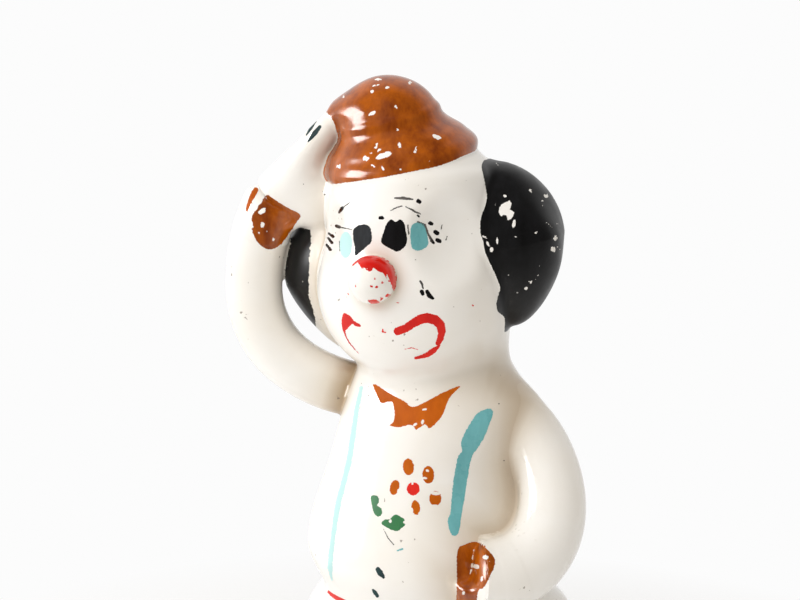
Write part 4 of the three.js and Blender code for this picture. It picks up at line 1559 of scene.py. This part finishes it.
class FIGURINE_OT_hair(bpy.types.Operator):
    """Model the two tufts of hair, painted black where the brush could reach"""

    bl_idname = "figurine.hair"
    bl_label = "Hair"

    def execute(self, context):
        shop = Workshop(context.scene)
        chips = bare_where(shop.view, patch(*HAIR_CHIP), *dabs(HAIR_CHIPS))
        shop.piece("left_hair", DETAIL_CELL, "worn_black", chips)
        unreached = bare_where(shop.view, patch(*UNREACHED_HAIR))

        def behind_sleeve(points):
            return np.minimum(unreached(points), -points[:, 1])

        shop.piece("right_hair", DETAIL_CELL, "worn_black", behind_sleeve)
        return {"FINISHED"}


class FIGURINE_OT_hat(bpy.types.Operator):
    """Model the tilted brown bowler"""

    bl_idname = "figurine.hat"
    bl_label = "Hat"

    def execute(self, context):
        shop = Workshop(context.scene)
        chips = dabs(HAT_CHIPS)
        shop.piece("hat", DETAIL_CELL, "worn_brown", bare_where(shop.view, *chips))
        shop.film("hat_hem_paint", "worn_brown", [chipped(patch(*HAT_HEM), chips)], "brown_enamel")
        return {"FINISHED"}


class FIGURINE_OT_raised_arm(bpy.types.Operator):
    """Model the raised sleeve with its cuff and the hand at the hat"""

    bl_idname = "figurine.raised_arm"
    bl_label = "Raised arm"

    def execute(self, context):
        shop = Workshop(context.scene)
        bare = bare_but(shop.view, patch(*RAISED_CUFF_PAINT), dabs(RAISED_CUFF_CHIPS))
        shop.piece("raised_arm", BODY_CELL, "off_white_glaze")
        shop.piece("raised_cuff", DETAIL_CELL, "worn_brown", bare)
        shop.piece("raised_hand", DETAIL_CELL, "off_white_glaze")
        return {"FINISHED"}


class FIGURINE_OT_hip_arm(bpy.types.Operator):
    """Model the other sleeve with its cuff and the hand in the pocket"""

    bl_idname = "figurine.hip_arm"
    bl_label = "Hip arm"

    def execute(self, context):
        shop = Workshop(context.scene)
        bare = bare_but(shop.view, patch(*HIP_CUFF_PAINT), dabs(HIP_CUFF_CHIPS))
        shop.piece("hip_arm", BODY_CELL, "off_white_glaze")
        shop.piece("hip_cuff", DETAIL_CELL, "worn_brown", bare)
        shop.piece("hip_hand", DETAIL_CELL, "off_white_glaze")
        return {"FINISHED"}


class FIGURINE_OT_shoes(bpy.types.Operator):
    """Model the two brown shoes"""

    bl_idname = "figurine.shoes"
    bl_label = "Shoes"

    def execute(self, context):
        shop = Workshop(context.scene)
        for name in ("right_shoe", "left_shoe"):
            shop.piece(name, DETAIL_CELL, "worn_brown")
        return {"FINISHED"}


class FIGURINE_OT_face_paint(bpy.types.Operator):
    """Brush on the eyes, lids, lashes and mouth"""

    bl_idname = "figurine.face_paint"
    bl_label = "Face paint"

    def execute(self, context):
        film = Workshop(context.scene).film
        film("teal_lid", "teal_brushwork", [worn(patch(*TEAL_LID))])
        # The lid on the lit side is the teal painted lighter: painted light
        film("lit_lid", "lit_teal_brushwork", [worn(dab(*LIT_LID))])
        worn_eye = worn(patch(*EYE_BY_RAISED_ARM), ragged=0.5)
        film("worn_eye", "dull_black_brushwork", [worn_eye], "black_enamel")
        film("other_eye", "black_brushwork", [worn(patch(*OTHER_EYE))], "black_enamel")
        film("lashes", "black_brushwork", fine_strokes(LASHES), "black_enamel")
        film("faded_lines", "faded_brushwork", fine_strokes(FADED_LINES))
        hairline = chipped(patch(*HAIRLINE), [patch(*HAIR_CHIP), *dabs(HAIR_CHIPS)])
        film("hairline", "worn_black", [hairline], "black_enamel")
        mouth = [patch(*MOUTH_PATCH), brush(*MOUTH_STROKE), brush(*MOUTH_TAIL)]
        mouth += [brush(*stops) for stops in RED_FLECKS]
        film("mouth", "red_brushwork", [worn(mark) for mark in mouth], "red_enamel")
        return {"FINISHED"}


class FIGURINE_OT_costume_paint(bpy.types.Operator):
    """Brush on the bow tie, braces, flower, buttons, waist line and fingers"""

    bl_idname = "figurine.costume_paint"
    bl_label = "Costume paint"

    def execute(self, context):
        shop = Workshop(context.scene)
        film = shop.film
        bow_tie = chipped(patch(*BOW_TIE), dabs(BOW_TIE_CHIPS))
        film("bow_tie", "ochre_brushwork", [bow_tie], "brown_enamel")
        film("teal_brace", "teal_brushwork", [worn(patch(*TEAL_BRACE), ragged=0.5)])
        # The brace on the lit side is the teal painted lighter: painted light
        film("lit_brace", "lit_teal_brushwork", [worn(brush(*LIT_BRACE), ragged=0.5)])
        petals = [chipped(petal, dabs(PETAL_CHIPS)) for petal in dabs(PETALS)]
        film("petals", "ochre_brushwork", petals, "brown_enamel")
        middle = chipped(dab(*FLOWER_MIDDLE), [dab(*FLOWER_MIDDLE_CHIP)])
        film("flower_middle", "red_brushwork", [middle], "red_enamel")
        leaves = [worn(patch(*LEAF_UPRIGHT)), chipped(patch(*LEAF_FLAT), [dab(*LEAF_CHIP)])]
        film("leaves", "green_brushwork", leaves)
        film("stem", "faded_brushwork", [brush(*STEM)])
        film("stem_end", "teal_brushwork", [brush(*STEM_END)])
        film("buttons", "bottle_green_brushwork", fine_strokes(BUTTONS))
        film("finger_lines", "bottle_green_brushwork", [brush(*stops) for stops in FINGER_LINES])
        film("dust", "faded_brushwork", fine_strokes((stop,) for stop in DUST))
        cuff = chipped(patch(*HIP_CUFF_PAINT), dabs(HIP_CUFF_CHIPS))
        film("hip_cuff_paint", "worn_brown", [cuff], "brown_enamel")
        cuff = chipped(patch(*RAISED_CUFF_PAINT), dabs(RAISED_CUFF_CHIPS))
        film("raised_cuff_paint", "worn_brown", [cuff], "brown_enamel")
        film("raised_cuff_strip", "ochre_brushwork", [worn(patch(*RAISED_CUFF_STRIP))], "brown_enamel")
        line = waist_line(measures(context.scene.figurine_body))
        red = finish(context.scene, "red_brushwork")
        add_film(shop.figure, "waist_line", red, [line], "red_enamel")
        return {"FINISHED"}


# Each lamp's turn from the front and height in degrees and its distance, its two sides, and its colour
SOFTBOX = ((-20, 46, 0.6), (0.7, 0.7), (0.98, 0.99, 1.0))
WINDOW = ((-66, 14, 0.62), (0.4, 0.34), (1.0, 1.0, 1.0))
PANE = ((-57, 14, 0.6), (0.3, 0.3), (1.0, 1.0, 1.0))


class FIGURINE_OT_stage(bpy.types.Operator):
    """Lay the floor and set the lamps, the surroundings and the camera"""

    bl_idname = "figurine.stage"
    bl_label = "Stage"

    def execute(self, context):
        stage = context.scene.figurine_stage
        axis = body_axis(measures(context.scene.figurine_body).shoe_forward)
        view = View(stage)
        backdrop = opaque(context.scene.figurine_paints.backdrop)
        add_floor(context.scene, stage.floor_size, backdrop, view.ahead)
        add_surroundings(context.scene, stage, backdrop, view.ahead)
        target = (view.target + axis) * MM
        softbox = add_lamp("softbox", stage.softbox_light, target, *SOFTBOX)
        softbox.visible_glossy = False
        add_lamp("window", stage.window_light, target, *WINDOW)
        pane = add_lamp("pane", stage.pane_light, target, *PANE)
        pane.visible_diffuse = False
        add_camera(context.scene, stage, view, axis)
        context.scene.view_settings.view_transform = "Standard"
        return {"FINISHED"}


def backdrop_share(tree, place, backwards, low, high):
    """How much of the white backdrop a place or direction has, from the dim room to the back."""
    sides = {0: place, 1: tuple(backwards)}
    depth = add_node(tree, "ShaderNodeVectorMath", sides, operation="DOT_PRODUCT").outputs["Value"]
    return between(tree, depth, low, high)


def add_floor(scene, size, colour, backwards):
    """A pale floor that keeps the shadow near the figure and is plain white further off."""
    half = size / 2
    mesh = bpy.data.meshes.new("floor")
    corners = [(-half, -half, 0), (half, -half, 0), (half, half, 0), (-half, half, 0)]
    mesh.from_pydata(corners, [], [(0, 1, 2, 3)])
    material, tree, shader = new_material("pale_floor")
    shader.inputs["Base Color"].default_value = colour
    shader.inputs["Roughness"].default_value = 0.6
    place = add_node(tree, "ShaderNodeNewGeometry").outputs["Position"]
    away = add_node(tree, "ShaderNodeVectorMath", {0: place}, operation="LENGTH").outputs["Value"]
    paths = add_node(tree, "ShaderNodeLightPath").outputs
    seen = arithmetic(tree, "MAXIMUM", paths["Is Camera Ray"], paths["Is Glossy Ray"])
    share = arithmetic(tree, "MULTIPLY", between(tree, away, 0.05, 0.12), seen)
    behind = backdrop_share(tree, place, backwards, -0.15, 0.05)
    room = between(tree, behind, 0, 1, DIM_ROOM, 1)
    bright = arithmetic(tree, "MAXIMUM", room, paths["Is Camera Ray"])
    white = add_node(tree, "ShaderNodeEmission", {"Color": colour, "Strength": bright})
    sides = {0: share, 1: shader.outputs["BSDF"], 2: white.outputs["Emission"]}
    mix = add_node(tree, "ShaderNodeMixShader", sides)
    tree.links.new(mix.outputs["Shader"], tree.nodes["Material Output"].inputs["Surface"])
    mesh.materials.append(material)
    floor = bpy.data.objects.new("floor", mesh)
    scene.collection.objects.link(floor)


def add_surroundings(scene, stage, colour, backwards):
    """A warm room in front and a white backdrop behind; the camera sees white all round."""
    world = bpy.data.worlds.new("surroundings")
    scene.world = world
    world.use_nodes = True
    tree = world.node_tree
    way = add_node(tree, "ShaderNodeTexCoord").outputs["Generated"]
    paths = add_node(tree, "ShaderNodeLightPath").outputs
    seen = arithmetic(tree, "MAXIMUM", paths["Is Camera Ray"], paths["Is Glossy Ray"])
    seen = arithmetic(tree, "MAXIMUM", seen, paths["Is Transmission Ray"])
    front = opaque([stage.room_light * share for share in ROOM_COLOUR])
    back = opaque([stage.backdrop_light] * 3)
    light = blended(tree, backdrop_share(tree, way, backwards, -0.3, 0.3), front, back)
    lit = add_node(tree, "ShaderNodeBackground", {"Color": light, "Strength": 1.0})
    behind = backdrop_share(tree, way, backwards, -0.1, 0.35)
    room = between(tree, behind, 0, 1, DIM_ROOM, 1)
    bright = arithmetic(tree, "MAXIMUM", room, paths["Is Camera Ray"])
    white = add_node(tree, "ShaderNodeBackground", {"Color": colour, "Strength": bright})
    mix = {0: seen, 1: lit.outputs["Background"], 2: white.outputs["Background"]}
    shown = add_node(tree, "ShaderNodeMixShader", mix).outputs["Shader"]
    tree.links.new(shown, tree.nodes["World Output"].inputs["Surface"])


def add_lamp(name, watts, target, place, size, colour):
    """A soft panel facing the target."""
    turn, lift, distance = math.radians(place[0]), math.radians(place[1]), place[2]
    back = np.array([math.sin(turn) * math.cos(lift), -math.cos(turn) * math.cos(lift), math.sin(lift)])
    light = bpy.data.lights.new(name, "AREA")
    light.shape = "RECTANGLE"
    light.size, light.size_y = size
    light.energy = watts
    light.color = colour
    lamp = bpy.data.objects.new(name, light)
    right = unit(np.cross([0.0, 0.0, 1.0], back))
    axes = Matrix(np.stack([right, np.cross(back, right), back], axis=1).tolist())
    lamp.matrix_world = Matrix.Translation((target + back * distance).tolist()) @ axes.to_4x4()
    bpy.context.scene.collection.objects.link(lamp)
    return lamp


def add_camera(scene, stage, view, axis):
    camera = bpy.data.cameras.new("camera")
    camera.sensor_fit = "HORIZONTAL"
    camera.sensor_width = stage.sensor_width / MM
    camera.lens = camera.sensor_width * stage.camera_distance / stage.frame_width
    camera.clip_start = 0.01
    camera.clip_end = 100
    seat = bpy.data.objects.new("camera", camera)
    axes = Matrix(np.stack([view.right, view.up, -view.ahead], axis=1).tolist())
    seat.matrix_world = Matrix.Translation(((view.eye + axis) * MM).tolist()) @ axes.to_4x4()
    scene.collection.objects.link(seat)
    scene.camera = seat


OPERATORS = (
    FIGURINE_OT_stage,
    FIGURINE_OT_body,
    FIGURINE_OT_head,
    FIGURINE_OT_hair,
    FIGURINE_OT_hat,
    FIGURINE_OT_raised_arm,
    FIGURINE_OT_hip_arm,
    FIGURINE_OT_shoes,
    FIGURINE_OT_face_paint,
    FIGURINE_OT_costume_paint,
)
GROUPS = {
    "figurine_body": FigurineBodySizes,
    "figurine_head": FigurineHeadSizes,
    "figurine_arms": FigurineArmSizes,
    "figurine_paints": FigurinePaints,
    "figurine_stage": FigurineStage,
}


class FIGURINE_PT_panel(bpy.types.Panel):
    """Lists the figurine's pieces, sizes and colours"""

    bl_idname = "FIGURINE_PT_panel"
    bl_label = "Ceramic Clown Figurine"
    bl_space_type = "VIEW_3D"
    bl_region_type = "UI"
    bl_category = "Figurine"

    def draw(self, context):
        for operator in OPERATORS:
            self.layout.operator(operator.bl_idname)
        for group in GROUPS:
            box = self.layout.box()
            settings = getattr(context.scene, group)
            for key in settings.__annotations__:
                box.prop(settings, key)


def register():
    for group, kind in GROUPS.items():
        bpy.utils.register_class(kind)
        setattr(bpy.types.Scene, group, PointerProperty(type=kind))
    for kind in (*OPERATORS, FIGURINE_PT_panel):
        bpy.utils.register_class(kind)


def unregister():
    for kind in (FIGURINE_PT_panel, *reversed(OPERATORS)):
        bpy.utils.unregister_class(kind)
    for group, kind in reversed(GROUPS.items()):
        delattr(bpy.types.Scene, group)
        bpy.utils.unregister_class(kind)


def main():
    register()
    bpy.ops.figurine.stage()
    bpy.ops.figurine.body()
    bpy.ops.figurine.head()
    bpy.ops.figurine.hair()
    bpy.ops.figurine.hat()
    bpy.ops.figurine.raised_arm()
    bpy.ops.figurine.hip_arm()
    bpy.ops.figurine.shoes()
    bpy.ops.figurine.face_paint()
    bpy.ops.figurine.costume_paint()


if __name__ == "__main__":
    main()
